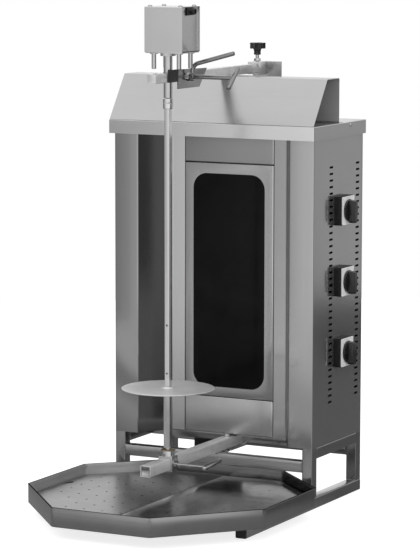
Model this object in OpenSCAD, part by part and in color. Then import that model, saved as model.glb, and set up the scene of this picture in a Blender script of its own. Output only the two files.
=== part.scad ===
// Electric skewer grill: a square-tube stand with a slide-out eight-sided drip tray,
// a folded steel casing with a recessed heater window, a sloping hood, and an upright
// spit between a lower carriage and a lift-off motor on an upper arm.
// Origin: middle of the footprint, on the floor. +Z is up, -Y is the front.

/* [Casing] */
// Width across the side sheets
casing_w = 490; // [470:1:520]
// Depth from the front strips to the back
casing_d = 258; // [240:1:290]
// Height of the casing's underside above the floor
stand_h = 135; // [130:1:160]
// Height of the top cover above the floor
cover_top = 839; // [800:1:900]
// Width between the front strips
recess_w = 374; // [350:1:380]
// Width of the recess at its back
recess_back_w = 284; // [270:1:300]
// Depth of the recess
recess_d = 81; // [60:1:100]
// Thickness of the folded sheet
sheet_t = 1.2; // [0.8:0.1:2]

/* [Top cover and hood] */
// Height of the cover's lip
lip_h = 30.5; // [20:0.5:40]
// How far the cover stands out at the front
lip_front = 14.4; // [5:0.1:25]
// How far the cover stands out at each side
lip_side = 6.5; // [4:0.1:8]
// Width of the hood
hood_w = 500; // [460:1:503]
// Height of the hood above the cover
hood_h = 98.7; // [60:0.1:120]
// Where the hood's slope ends, behind the casing's front
hood_slope_end = 55.5; // [40:0.5:80]
// Where the hood's flat top ends, behind the casing's front
hood_flat_end = 118; // [90:1:180]

/* [Heater window] */
// Width of the front panels
panel_w = 219.4; // [200:0.1:219.4]
// Lower seam of the window panel
panel_low = 218.1; // [200:0.1:240]
// Upper seam of the window panel
panel_high = 743.8; // [720:0.1:760]
// Width of the glass that shows
window_w = 177; // [140:1:180]
// Lowest point of the window
window_low = 240; // [235:1:260]
// Highest point of the window
window_high = 720; // [700:1:725]
// Corner radius of the window
window_r = 33; // [10:1:50]

/* [Stand] */
// Width of the square tube
tube = 25; // [20:1:30]
// Wall of the square tubes
tube_wall = 1.5; // [1:0.1:2.5]
// How far the skids reach in front of the casing
skid_reach = 322; // [280:1:350]

/* [Drip tray] */
// Width of the tray
tray_w = 574; // [560:1:584]
// How far the tray reaches in front of the casing
tray_reach = 507; // [480:1:540]
// Width of the tray's front edge
tray_front_w = 232; // [180:1:260]
// Where the tray's side walls begin, in front of the casing
tray_side_front = 316; // [300:1:330]
// Where the tray's side walls end, in front of the casing
tray_side_rear = 70; // [66:1:90]
// How far the tray reaches behind the casing's front
tray_tuck = 70; // [50:1:85]
// Width of the tray's rear edge
tray_rear_w = 288; // [240:1:300]
// Height of the tray's wall
tray_h = 42; // [30:1:45]
// Height of the insert plates above the tray's underside
insert_h = 23; // [15:1:30]
// Spacing of the insert's drain holes
drain_pitch = 44; // [30:1:60]

/* [Spit] */
// How far the spit stands in front of the casing
spit_y = 207; // [180:1:230]
// Side of the square spit bar
spit_side = 12; // [10:0.5:14]
// Diameter of the meat disc
disc_d = 200; // [150:5:200]
// Height of the meat disc above the floor
disc_z = 281; // [220:1:400]

/* [Arms] */
// Underside of the lower arm above the floor
lower_arm_z = 106; // [104:1:107]
// How far the lower arm reaches in front of the casing
lower_arm_reach = 310; // [290:1:330]
// Side of the upper arm's tube
upper_tube = 20; // [18:1:22]
// How far the upper arm reaches in front of the casing
upper_arm_reach = 280; // [250:1:300]

/* [Motor unit] */
// Width of the motor cover
motor_w = 90; // [84:1:110]
// Depth of the motor cover
motor_d = 81; // [76:1:100]
// Height of the motor cover
motor_h = 96; // [86:1:120]

/* [Switches] */
// Side of the square switch base
switch_side = 64; // [56:1:70]
// Height of the middle switch above the floor
switch_mid_z = 490; // [460:1:520]
// Spacing of the switches
switch_pitch = 157; // [120:1:170]
// How far the switches sit behind the casing's front
switch_y = 140; // [130:1:150]

/* [Hidden] */
$fn = 64;

// The casing's front strips, so that the tray's front edge and the casing's back are equally
// far from the origin
front_y = (tray_reach - casing_d) / 2;
half_w = casing_w / 2;
casing_top = cover_top - sheet_t;
// Plan of the right casing sheet, from its return at the window round to its rear flange
side_path = [[panel_w / 2 + 0.3, recess_d + 18], [panel_w / 2 + 0.3, recess_d],
    [recess_back_w / 2, recess_d], [recess_w / 2, 0], [half_w, 0], [half_w, casing_d],
    [half_w - 20, casing_d]];
bend_gap = 0.1;
air_slot = [400, 17];
cover_screw_y = 175;
back_screw_z = [170, 330, 490, 650, 800];
lip_screw_r = 3.6;
// Radius of a screw's shank as a share of its head's
shank_share = 0.45;
glass_t = 4;
glass_edge = 9;

leg_x = half_w - tube / 2;
leg_top = stand_h;
cap_t = 3;
cross_rail_z = 81;
mid_rail_y = 126;
lug_t = 3;
lug_w = 40;
lug_y = 56;
bolt_y = 72;
bolt_r = 4;
bolt_gap = 0.3;

vent_rows = 37;
vent_low = 226;
vent_pitch = 14.4;
vent_size = [18, 4.8];
vent_columns = [90, 229];

knob_gap = 0.4;
knob_reach = 19;
switch_base_t = 17;
switch_plate_t = 2;
cam_side = 44;
cam_neck_r = 20;
switch_face = half_w + switch_base_t + switch_plate_t;
shaft_r = 3;
run_gap = 0.05;

box_left = -132;
box_low = 74;
box_rear = 232;
box_depth = 64;
wire_hole_r = 10;
gland_x = -110;
gland_z = 119;
gland_r = 7.9;
cable_r = 5;

pan_h = 154;
pan_pitch = 160;
pan_w = 180;
pan_y = 100;
pan_d = 30;
board_t = 18;
ribbon_rows = 9;
ribbon_t = 1.6;

lower_arm_top = lower_arm_z + tube;
lower_arm_mid = lower_arm_z + tube / 2;
clamp_y = 220;
upper_arm_z = 938.4;
upper_arm_top = upper_arm_z + upper_tube;
upper_arm_end = 252;
block_front = 228;
block_rear = 186;
block_top = 965;
handle_y = 145.4;
handle_z = 947.3;
clamp_r = 4.5;
lower_clamp_r = 3.5;
bracket_left = -20;
bracket_right = 51;
bracket_y = 238;
bracket_t = 3;
bracket_top = 963;
bearing_r = 9.5;
bearing_low = 905;
bearing_high = 994;
drive_r = 7;

motor_z = 1002;
motor_mid_y = 188;
pin_x = 30;
pin_y = 26;
screw_x = 36;
screw_y = 31;

tray_z = tube;
tray_t = 1.5;
hem_t = 3;
hem_h = 8;
insert_edge = 4.5;
insert_seam_x = 5;
insert_seam_gap = 0.4;
finger_hole = [-262, -181];
finger_r = 11;
// Outline of the tray, seen from above, counter-clockwise from the front left corner
tray_outline = [[-tray_front_w / 2, -tray_reach], [tray_front_w / 2, -tray_reach],
    [tray_w / 2, -tray_side_front], [tray_w / 2, -tray_side_rear], [tray_rear_w / 2, tray_tuck],
    [-tray_rear_w / 2, tray_tuck], [-tray_w / 2, -tray_side_rear], [-tray_w / 2, -tray_side_front]];

// Drain holes: a square grid, kept clear of the tray's walls
drain_margin = 47;
drain_r = 2.5;
drain_start = [-5 - 5 * drain_pitch, -410];
drains = [for (x = [drain_start[0] : drain_pitch : tray_w / 2])
    for (y = [drain_start[1] : drain_pitch : tray_tuck])
        if (reach_inside([x, y], tray_outline) > drain_margin) [x, y]];

collar_low = 882;
collar_r = 11;
socket_side = 10.4;
sleeve_side = 15;
foot_r = 6;
cup_r = 12;
cup_seat = 5;
cup_top = 149.5;
foot_low = 138;

// Direction from one point to the next
function heading(a, b) = (b - a) / norm(b - a);
// The direction a quarter turn to the left
function left_of(d) = [-d[1], d[0]];
// A corner between directions a and b, moved t to the left with a mitre
function mitred(p, a, b, t) =
    let (m = left_of(a) + left_of(b))
    p + 2 * t * m / (m * m);
// Point i of an open path, moved t to the left
function beside(p, i, t) =
    let (n = len(p), k = max(i, 1), j = min(i, n - 2))
    mitred(p[i], heading(p[k - 1], p[k]), heading(p[j], p[j + 1]), t);
// Outline of a sheet of thickness t that follows an open path
function sheet_outline(p, t) =
    concat(p, [for (i = [len(p) - 1 : -1 : 0]) beside(p, i, t)]);
// A closed counter-clockwise outline, drawn in by t
function inset(p, t) =
    let (n = len(p))
    [for (i = [0 : n - 1])
        mitred(p[i], heading(p[(i + n - 1) % n], p[i]), heading(p[i], p[(i + 1) % n]), t)];

// How far a point lies inside a convex counter-clockwise outline
function reach_inside(q, p) =
    let (n = len(p))
    min([for (i = [0 : n - 1]) left_of(heading(p[i], p[(i + 1) % n])) * (q - p[i])]);

// Moves its children from the casing's own frame, which starts at the front strips
module in_place() {
    translate([0, front_y, 0]) children();
}

// Everything that the children draw, and its mirror image across the middle
module both_sides() {
    children();
    mirror([1, 0, 0]) children();
}

// Square tube along +Z
module square_tube(side, wall, l) {
    linear_extrude(l) difference() {
        square(side, center = true);
        square(side - 2 * wall, center = true);
    }
}

// Square tube along +Y, starting at the origin
module tube_y(side, wall, l) {
    rotate([-90, 0, 0]) square_tube(side, wall, l);
}

// Square tube along X, centred
module tube_x(side, wall, l) {
    rotate([0, 90, 0]) translate([0, 0, -l / 2]) square_tube(side, wall, l);
}

// Sheet folded along a path in plan
module folded(p, t, h) {
    linear_extrude(h) polygon(sheet_outline(p, t));
}

// Shape drawn in the side view (first Y, then Z) and drawn out along +X
module along_x(l) {
    rotate([90, 0, 90]) linear_extrude(l) children();
}

// Cylinder along +X
module rod_x(r, l) {
    rotate([0, 90, 0]) cylinder(r = r, h = l);
}

// Round rod of radius r: a stub up, a bend of radius bend_r towards +X, and a straight
// stretch that rises by the angle rise. The bend is a little thinner and its ends sit
// inside the straight lengths, so that the three fuse
module bent_rod(r, stub, bend_r, rise, l) {
    bite = 0.5;
    cylinder(r = r, h = stub + bite);
    translate([bend_r, 0, stub]) rotate([90, 0, 0]) rotate([0, 0, 90 + rise])
        rotate_extrude(angle = 90 - rise) translate([bend_r, 0]) circle(r - 0.1);
    translate([bend_r * (1 - sin(rise)), 0, stub + bend_r * cos(rise)])
        rotate([0, 90 - rise, 0]) translate([0, 0, -bite]) cylinder(r = r, h = l + bite);
}

// ---- Stand ----

module skids() {
    color("silver") in_place() both_sides()
        translate([leg_x, cap_t - skid_reach, tube / 2])
            tube_y(tube, tube_wall, skid_reach + casing_d - 2 * cap_t);
}

// End plug of a skid, its flange at the origin and its stem along +Y
module skid_plug() {
    stem = tube - 2 * tube_wall - 0.2;
    translate([-tube / 2, 0, 0]) cube([tube, cap_t, tube]);
    translate([-stem / 2, cap_t, (tube - stem) / 2]) cube([stem, 18, stem]);
}

module skid_caps() {
    color("dimgray") in_place() both_sides() {
        translate([leg_x, -skid_reach, 0]) skid_plug();
        translate([leg_x, casing_d, 0]) mirror([0, 1, 0]) skid_plug();
    }
}

module frame_legs() {
    color("silver") in_place() both_sides()
        for (y = [tube / 2, casing_d - tube / 2])
            translate([leg_x, y, tube]) square_tube(tube, tube_wall, leg_top - tube);
}

module side_rails() {
    color("silver") in_place() both_sides()
        translate([leg_x, tube, leg_top - tube / 2])
            tube_y(tube, tube_wall, casing_d - 2 * tube);
}

module front_rail() {
    color("silver") in_place()
        translate([0, tube / 2, cross_rail_z + tube / 2])
            tube_x(tube, tube_wall, casing_w - 2 * tube);
}

module rear_rail() {
    color("silver") in_place()
        translate([0, casing_d - tube / 2, cross_rail_z + tube / 2])
            tube_x(tube, tube_wall, casing_w - 2 * tube);
}

// Middle rail with the lug that holds the lower arm
module mid_rail() {
    color("silver") in_place() {
        translate([0, mid_rail_y + tube / 2, leg_top - tube / 2])
            tube_x(tube, tube_wall, casing_w - 2 * tube);
        difference() {
            union() {
                translate([-lug_w / 2, lug_y, lower_arm_z - lug_t])
                    cube([lug_w, mid_rail_y + tube - lug_y, lug_t]);
                translate([-lug_w / 2, mid_rail_y + 0.2, lower_arm_z])
                    cube([lug_w, tube - 0.2, leg_top - tube - lower_arm_z]);
            }
            translate([0, bolt_y, lower_arm_z - lug_t - 1])
                cylinder(r = bolt_r + bolt_gap, h = lug_t + 2);
        }
    }
}

// ---- Casing ----

// One column of vent slots through the right side sheet
module vent_column(y) {
    for (i = [0 : vent_rows - 1])
        translate([half_w - 5, y - vent_size[0] / 2, vent_low + i * vent_pitch - vent_size[1] / 2])
            cube([10, vent_size[0], vent_size[1]]);
}

// Right casing sheet: window return, recess wall, front strip, side and rear flange
module casing_sheet() {
    difference() {
        translate([0, 0, stand_h]) folded(side_path, sheet_t, casing_top - stand_h);
        at_back_screws() flush_screw(run_gap);
    }
}

module casing_left() {
    color("silver") in_place() mirror([1, 0, 0]) casing_sheet();
}

module casing_right() {
    color("silver") in_place() difference() {
        casing_sheet();
        for (y = vent_columns)
            vent_column(y);
        for (i = [-1 : 1])
            translate([half_w - 5, switch_y, switch_mid_z + i * switch_pitch])
                rod_x(cam_neck_r + 1, 10);
    }
}

// Panel inside the rear flanges of the side sheets
module back_panel() {
    side = half_w - sheet_t - 0.2;
    color("silver") in_place() difference() {
        translate([-side, casing_d - 2 * sheet_t, stand_h + sheet_t])
            cube([2 * side, sheet_t, casing_top - stand_h - sheet_t]);
        both_sides() at_back_screws() flush_screw(run_gap);
    }
}

// Floor of the casing, cut to the inside of the side sheets and clear of the front panel
module bottom_plate() {
    right = [for (i = [1 : 5]) beside(side_path, i, sheet_t + bend_gap)];
    left = [for (i = [4 : -1 : 0]) [-right[i][0], right[i][1]]];
    notch = [for (s = [-1, 1]) [s * right[0][0], side_path[0][1] + bend_gap]];
    color("silver") in_place() difference() {
        translate([0, 0, stand_h]) linear_extrude(sheet_t) polygon(concat(right, left, notch));
        translate([gland_x, box_rear - box_depth / 2, stand_h - 1])
            cylinder(r = wire_hole_r, h = 4);
    }
}

// Lid over the casing, open along its back, with a slot for the hot air under the hood
module top_cover() {
    x = half_w + lip_side;
    lip = [[-x, casing_d], [-x, -lip_front], [x, -lip_front], [x, casing_d]];
    color("gainsboro") in_place() {
        difference() {
            translate([0, 0, cover_top - lip_h]) folded(lip, sheet_t, lip_h - sheet_t);
            both_sides() at_cover_screw()
                translate([0, 0, -5]) cylinder(r = lip_screw_r * shank_share + run_gap, h = 10);
        }
        difference() {
            translate([-x, -lip_front, casing_top])
                cube([2 * x, casing_d + lip_front, sheet_t]);
            translate([-air_slot[0] / 2, recess_d + 16, casing_top - 1])
                cube([air_slot[0], air_slot[1], 4]);
        }
    }
}

// One folded sheet: slope, flat top, back and foot, open at both ends
module hood() {
    top = cover_top + hood_h;
    foot_lift = 0.75;
    slope_run = hood_slope_end + lip_front;
    path = [[-lip_front + foot_lift * slope_run / hood_h, cover_top + foot_lift],
        [hood_slope_end, top], [hood_flat_end, top], [hood_flat_end, cover_top + sheet_t],
        [hood_flat_end + 18, cover_top + sheet_t]];
    color("gainsboro") in_place()
        translate([-hood_w / 2, 0, 0]) along_x(hood_w) polygon(sheet_outline(path, -sheet_t));
}

// Rounded opening of the window, or anything larger by grow on each side
module window_shape(grow) {
    w = window_w + 2 * grow;
    h = window_high - window_low + 2 * grow;
    r = window_r + grow;
    square([w - 2 * r, h], center = true);
    square([w, h - 2 * r], center = true);
    for (x = [-1, 1])
        for (y = [-1, 1])
            translate([x * (w / 2 - r), y * (h / 2 - r)]) circle(r);
}

// Shallow front panel with its edges folded back
module folded_panel(low, high) {
    edge = 14;
    translate([-panel_w / 2, recess_d - 1, low]) difference() {
        cube([panel_w, edge, high - low]);
        translate([sheet_t, sheet_t, sheet_t])
            cube([panel_w - 2 * sheet_t, edge, high - low - 2 * sheet_t]);
    }
}

module window_panel() {
    color("silver") in_place() difference() {
        folded_panel(panel_low, panel_high);
        translate([0, recess_d + 2, (window_low + window_high) / 2])
            rotate([90, 0, 0]) linear_extrude(6) window_shape(0);
    }
}

module upper_panel() {
    color("silver") in_place() folded_panel(panel_high + 0.8, casing_top);
}

module lower_panel() {
    color("silver") in_place() folded_panel(stand_h, panel_low - 0.8);
}

module ceramic_glass() {
    color("black") in_place()
        translate([0, recess_d - 1 + sheet_t + glass_t, (window_low + window_high) / 2])
            rotate([90, 0, 0]) linear_extrude(glass_t) window_shape(glass_edge);
}

// Pan-head screw with its head towards +Z and its shank below the origin
module pan_screw(r, head, shank) {
    cylinder(r1 = r, r2 = r * 0.75, h = head);
    translate([0, 0, -shank]) cylinder(r = r * shank_share, h = shank);
}

// Countersunk screw with its face at the origin, or its hole, wider by grow
module flush_screw(grow) {
    r = 3.2;
    head = 1.1;
    translate([0, 0, -head]) cylinder(r1 = r * shank_share + grow, r2 = r + grow, h = head);
    translate([0, 0, -7]) cylinder(r = r * shank_share + grow, h = 7 - head);
}

// Places its children along the rear flange of the right side sheet, facing back
module at_back_screws() {
    for (z = back_screw_z)
        translate([half_w - 10, casing_d, z]) rotate([-90, 0, 0]) children();
}

// Places its children at the screw in the cover's right lip, facing out
module at_cover_screw() {
    translate([half_w + lip_side, cover_screw_y, cover_top - 7]) rotate([0, 90, 0]) children();
}

// Screws that hold the back panel and the cover's lip
module casing_screws() {
    color("silver") in_place() both_sides() {
        at_back_screws() flush_screw(0);
        at_cover_screw() pan_screw(lip_screw_r, 2, 6);
    }
}

// ---- Heating ----

// Channel behind the glass that carries the pans
module heater_carrier() {
    x = pan_w / 2 + 10;
    front = recess_d + 8;
    rear = pan_y + pan_d + 20;
    path = [[-x, front], [-x, rear], [x, rear], [x, front]];
    color("gray") in_place()
        translate([0, 0, window_low - 6]) folded(path, sheet_t, window_high - window_low + 12);
}

// Open-fronted heater pan, n zones above the middle one
module heater_pan(n) {
    z = (window_low + window_high) / 2 + n * pan_pitch - pan_h / 2;
    t = 1;
    color("gray") in_place() translate([-pan_w / 2, pan_y, z]) difference() {
        cube([pan_w, pan_d, pan_h]);
        translate([t, -t, t]) cube([pan_w - 2 * t, pan_d, pan_h - 2 * t]);
    }
}

module heater_pan_top() {
    heater_pan(1);
}

module heater_pan_middle() {
    heater_pan(0);
}

module heater_pan_bottom() {
    heater_pan(-1);
}

// Insulation boards, one in each pan
module heater_boards() {
    color("ivory") in_place() for (n = [-1 : 1])
        translate([-pan_w / 2 + 1.2, pan_y + pan_d - 1.2 - board_t,
            (window_low + window_high) / 2 + n * pan_pitch - pan_h / 2 + 1.2])
            cube([pan_w - 2.4, board_t, pan_h - 2.4]);
}

// One ribbon that runs to and fro over its board
module ribbon() {
    reach = pan_w / 2 - 14;
    step = (pan_h - 26) / (ribbon_rows - 1);
    low = -(ribbon_rows - 1) * step / 2;
    path = [for (i = [0 : ribbon_rows - 1]) for (s = [-1, 1])
        [(i % 2 == 0 ? s : -s) * reach, low + i * step]];
    rotate([90, 0, 0]) linear_extrude(5) polygon(sheet_outline(path, ribbon_t));
}

module heater_ribbons() {
    color("sienna") in_place() for (n = [-1 : 1])
        translate([0, pan_y + pan_d - 1.2 - board_t,
            (window_low + window_high) / 2 + n * pan_pitch])
            ribbon();
}

// ---- Electrics ----

// Places its children at each switch, on the outside of the right side sheet
module at_switches() {
    for (i = [-1 : 1])
        translate([half_w, switch_y, switch_mid_z + i * switch_pitch]) children();
}

module switch_bases() {
    s = switch_side;
    color("black") in_place() at_switches() difference() {
        translate([0, -s / 2, -s / 2]) cube([switch_base_t, s, s]);
        translate([-1, 0, 0]) rod_x(6, switch_base_t + 2);
    }
}

module switch_plates() {
    s = switch_side - 2;
    color("white") in_place() at_switches() difference() {
        translate([switch_base_t, -s / 2, -s / 2]) cube([switch_plate_t, s, s]);
        rod_x(6, switch_base_t + switch_plate_t + 1);
    }
}

// Stacked cam block behind the side sheet, with the bore that the knob's shaft turns in
module switch_cams() {
    color("dimgray") in_place() at_switches() difference() {
        union() {
            translate([-2 - cam_side, -cam_side / 2, -cam_side / 2])
                cube([cam_side, cam_side, cam_side]);
            translate([-4, 0, 0]) rod_x(cam_neck_r, 4);
        }
        translate([-30, 0, 0]) rod_x(shaft_r + run_gap, 40);
    }
}

// Knob with its shaft: round skirt and an upright grip, slanted at its top and longer below
module switch_knob(n) {
    grip_w = 18;
    face = knob_reach - knob_gap;
    color("black") in_place()
        translate([switch_face + knob_gap, switch_y, switch_mid_z + n * switch_pitch]) {
            rod_x(24.5, 4);
            translate([0, grip_w / 2, 0]) rotate([90, 0, 0]) linear_extrude(grip_w)
                polygon([[4, -28], [face, -28], [face, 13], [11, 23], [4, 23]]);
            translate([-knob_gap - switch_plate_t - switch_base_t - 24, 0, 0])
                rod_x(shaft_r, knob_gap + switch_plate_t + switch_base_t + 24.5);
        }
}

module knob_top() {
    switch_knob(1);
}

module knob_middle() {
    switch_knob(0);
}

module knob_bottom() {
    switch_knob(-1);
}

// Outline of the terminal box from the front, with its slanted right side, drawn in by t
function box_front(t) = [[box_left + t, stand_h], [box_left + t, box_low + t],
    [box_left + 82 - 0.76 * t, box_low + t], [box_left + 99 - 1.04 * t, stand_h]];

// Places its children on the rear face of the terminal box, facing back
module at_gland() {
    translate([gland_x, box_rear, gland_z]) rotate([-90, 0, 0]) children();
}

module terminal_box() {
    wall = 2;
    color("dimgray") in_place() difference() {
        translate([0, box_rear, 0]) rotate([90, 0, 0])
            linear_extrude(box_depth) polygon(box_front(0));
        translate([0, box_rear - wall, 0]) rotate([90, 0, 0])
            linear_extrude(box_depth - 2 * wall) polygon(box_front(wall));
        at_gland() translate([0, 0, -wall - 1]) cylinder(r = gland_r + 0.1, h = wall + 2);
    }
}

// Row of screw terminals on the terminal box's floor
module terminal_block() {
    pitch = 11;
    l = 58;
    w = 22;
    color("ivory") in_place() translate([box_left + 12, box_rear - box_depth + 12, box_low + 2.2])
        difference() {
            cube([l, w, 18]);
            for (i = [-2 : 2])
                translate([l / 2 + i * pitch, w / 2, 7]) cylinder(r = 3, h = 12);
        }
}

// Gland for the supply cable, through the rear wall of the terminal box
module cable_gland() {
    nut_t = 7;
    dome_l = 15;
    stem_l = 8;
    color("dimgray") in_place() at_gland() difference() {
        union() {
            cylinder(r = 12, h = nut_t, $fn = 6);
            translate([0, 0, nut_t]) cylinder(r = 10.5, h = dome_l);
            translate([0, 0, -stem_l]) cylinder(r = gland_r, h = stem_l);
            translate([0, 0, -6]) cylinder(r = 11, h = 4, $fn = 6);
        }
        translate([0, 0, -stem_l - 1]) cylinder(r = cable_r, h = stem_l + nut_t + dome_l + 2);
    }
}

// ---- Drip tray ----

module drip_tray() {
    color("silver") in_place() translate([0, 0, tray_z]) difference() {
        linear_extrude(tray_h) polygon(tray_outline);
        translate([0, 0, tray_t]) linear_extrude(tray_h - tray_t - hem_h)
            polygon(inset(tray_outline, tray_t));
        translate([0, 0, tray_h - hem_h - 0.01]) linear_extrude(hem_h + 1)
            polygon(inset(tray_outline, hem_t));
    }
}

// The half of the tray's inside on one side (-1 left, 1 right) of the seam, drawn in by t
module half_outline(side, t) {
    intersection() {
        polygon(inset(tray_outline, insert_edge + t));
        translate([insert_seam_x + (side > 0 ? insert_seam_gap + t : -tray_w - insert_seam_gap - t),
            -tray_reach])
            square([tray_w, tray_reach + tray_tuck]);
    }
}

// Insert plate with its edges folded down to the tray's floor and a grid of drain holes
module insert_plate(side) {
    color("silver") in_place() translate([0, 0, tray_z + tray_t]) difference() {
        linear_extrude(insert_h - tray_t) half_outline(side, 0);
        translate([0, 0, -1]) linear_extrude(insert_h - tray_t - sheet_t + 1)
            half_outline(side, sheet_t);
        for (p = drains)
            translate([p[0], p[1], 0]) cylinder(r = drain_r, h = insert_h, $fn = 16);
        if (side < 0)
            translate(finger_hole) cylinder(r = finger_r, h = insert_h);
    }
}

module insert_left() {
    insert_plate(-1);
}

module insert_right() {
    insert_plate(1);
}

// ---- Lower spit support ----

module lower_arm() {
    color("silver") in_place() difference() {
        translate([0, -lower_arm_reach, lower_arm_mid])
            tube_y(tube, tube_wall, lower_arm_reach + mid_rail_y);
        translate([0, bolt_y, lower_arm_z - 1]) cylinder(r = bolt_r + bolt_gap, h = tube + 2);
    }
}

module arm_plug() {
    side = tube - 2 * tube_wall - 0.2;
    color("gray") in_place()
        translate([-side / 2, 1 - lower_arm_reach, lower_arm_mid - side / 2])
            cube([side, 14, side]);
}

// Hexagon bolt through the arm and its lug, with its nut
module arm_bolt() {
    head_r = 7.2;
    nut_h = 6;
    below = lower_arm_z - lug_t;
    color("silver") in_place() translate([0, bolt_y, 0]) {
        translate([0, 0, lower_arm_top]) cylinder(r = head_r, h = 5, $fn = 6);
        translate([0, 0, below - nut_h - 2]) cylinder(r = bolt_r, h = lower_arm_top - below + nut_h + 2);
        translate([0, 0, below - nut_h]) cylinder(r = head_r, h = nut_h, $fn = 6);
    }
}

// Sleeve that slides on the lower arm, with the nut of its clamp handle
module carriage() {
    gap = 0.2;
    wall = 3.5;
    l = 26;
    slide = tube / 2 + gap;
    out = slide + wall;
    color("silver") in_place() translate([0, -spit_y, 0]) difference() {
        union() {
            translate([-out, -l / 2, lower_arm_z - gap - wall])
                cube([2 * out, l, tube + gap + wall + cup_seat]);
            translate([0, 0, lower_arm_top + cup_seat - 1]) cylinder(r = cup_r + 2, h = 12);
            translate([out, 0, lower_arm_mid]) rotate([0, 90, 0]) cylinder(r = 7.5, h = 7, $fn = 6);
        }
        translate([-slide, -l / 2 - 1, lower_arm_z - gap])
            cube([2 * slide, l + 2, tube + 2 * gap]);
        translate([0, 0, lower_arm_top + cup_seat]) cylinder(r = cup_r + run_gap, h = 20);
        translate([0, 0, lower_arm_mid]) rod_x(lower_clamp_r + run_gap, 40);
    }
}

// Flanged cup that the spit's foot turns in
module spit_cup() {
    color("darkgoldenrod") in_place() translate([0, -spit_y, 0]) difference() {
        union() {
            translate([0, 0, lower_arm_top + cup_seat])
                cylinder(r = cup_r, h = cup_top - lower_arm_top - cup_seat);
            translate([0, 0, cup_top - 2.5]) cylinder(r = cup_r + 4, h = 2.5);
        }
        translate([0, 0, foot_low - 0.5]) cylinder(r = foot_r + run_gap, h = 20);
    }
}

// Clamp screw with a loose tommy bar near its end
module lower_handle() {
    bar_x = 94;
    bar_l = 82;
    tip_gap = 0.5;
    color("silver") in_place() translate([0, -spit_y, lower_arm_mid]) {
        translate([tube / 2 + tip_gap, 0, 0]) rod_x(lower_clamp_r, bar_x - tube / 2 - tip_gap);
        translate([bar_x, 0, 0]) rotate([4, 0, 0]) translate([0, -16, 0])
            rotate([-90, 0, 0]) cylinder(r = 5, h = bar_l);
    }
}

// ---- Upper spit support ----

// Plate on the cover behind the hood, with a foot and an opening for the arm
module rear_bracket() {
    w = bracket_right - bracket_left;
    t = bracket_t;
    foot = 19;
    color("silver") in_place() difference() {
        union() {
            translate([bracket_left, bracket_y, cover_top]) cube([w, t, bracket_top - cover_top]);
            translate([bracket_left, bracket_y, cover_top]) cube([w, foot, t]);
            for (x = [bracket_left, bracket_right - t])
                translate([x, 0, 0]) along_x(t) polygon([[bracket_y + 1, cover_top + 1],
                    [bracket_y + foot, cover_top + 1], [bracket_y + 1, cover_top + 70]]);
        }
        translate([-upper_tube / 2 - 1, bracket_y - 1, upper_arm_z - 1])
            cube([upper_tube + 2, 6, upper_tube + 2]);
    }
}

// Block that the upper arm slides in, threaded for the star knob
module arm_clamp() {
    gap = 0.15;
    color("silver") in_place() difference() {
        translate([-16, bracket_y - 34, upper_arm_z - 4])
            cube([32, 34, upper_tube + 8.2]);
        translate([-upper_tube / 2 - gap, bracket_y - 35, upper_arm_z - gap])
            cube([upper_tube + 2 * gap, 36, upper_tube + 2 * gap]);
        translate([0, clamp_y, upper_arm_z + upper_tube]) cylinder(r = 4 + run_gap, h = 10);
    }
}

// Star knob: five lobes on a round core, hub and stem
module star_knob() {
    head_low = 992;
    head_h = 13;
    hub_low = 978;
    nut_low = 964;
    color("black") in_place() translate([0, clamp_y, 0]) difference() {
        union() {
            translate([0, 0, head_low]) cylinder(r = 15, h = head_h);
            for (a = [0 : 72 : 359])
                rotate([0, 0, a + 20]) translate([12.5, 0, head_low]) cylinder(r = 6.2, h = head_h);
            translate([0, 0, hub_low]) cylinder(r = 8, h = head_low - hub_low + 1);
            translate([0, 0, upper_arm_top + 0.3]) cylinder(r = 4, h = hub_low - upper_arm_top);
            translate([0, 0, nut_low]) cylinder(r = 7.5, h = 6, $fn = 6);
        }
        translate([0, 0, head_low + head_h - 3]) cylinder(r = 7, h = 5);
    }
}

// Upper arm with the bearing tube of the spit drive welded through it
module upper_arm() {
    color("silver") in_place() difference() {
        union() {
            difference() {
                translate([0, -upper_arm_reach, upper_arm_z + upper_tube / 2])
                    tube_y(upper_tube, tube_wall, upper_arm_reach + upper_arm_end);
                translate([0, -spit_y, upper_arm_z - 1]) cylinder(r = 8, h = upper_tube + 2);
            }
            translate([-upper_tube / 2, -upper_arm_reach, upper_arm_z])
                cube([upper_tube, 1.5, upper_tube]);
            translate([0, -spit_y, bearing_low])
                cylinder(r = bearing_r, h = bearing_high - bearing_low);
        }
        translate([0, -spit_y, bearing_low - 1])
            cylinder(r = drive_r + run_gap, h = bearing_high - bearing_low + 2);
        translate([-1.6, -spit_y + 5, bearing_high - 5]) cube([3.2, 6, 6]);
    }
}

// Plastic cheek on the arm's right side, beside the bearing tube
module bearing_block() {
    cheek_t = 4;
    color("black") in_place() translate([upper_tube / 2, -block_front, upper_arm_z])
        cube([cheek_t, block_front - block_rear, block_top - upper_arm_z]);
}

// Plate on the arm's right side, with the nut of the clamp handle
module side_plate() {
    color("silver") in_place() difference() {
        union() {
            translate([upper_tube / 2, 0, 0]) along_x(3) polygon([[-184.5, 964.5],
                [-184.5, 923], [-87, 923], [-52, 962]]);
            translate([upper_tube / 2 + 3, -handle_y, handle_z])
                rotate([0, 90, 0]) cylinder(r = 9, h = 8, $fn = 6);
        }
        translate([0, -handle_y, handle_z]) rod_x(clamp_r + run_gap, 40);
    }
}

module upper_handle() {
    bar_x = 123;
    bar_l = 64;
    tip_gap = 0.5;
    color("silver") in_place() translate([0, -handle_y, handle_z]) {
        translate([upper_tube / 2 + tip_gap, 0, 0])
            rod_x(clamp_r, bar_x - upper_tube / 2 - tip_gap);
        translate([bar_x, 0, 0]) rotate([42.5, 0, 0]) translate([0, -bar_l / 2, 0])
            rotate([-90, 0, 0]) cylinder(r = 5.5, h = bar_l);
    }
}

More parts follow.
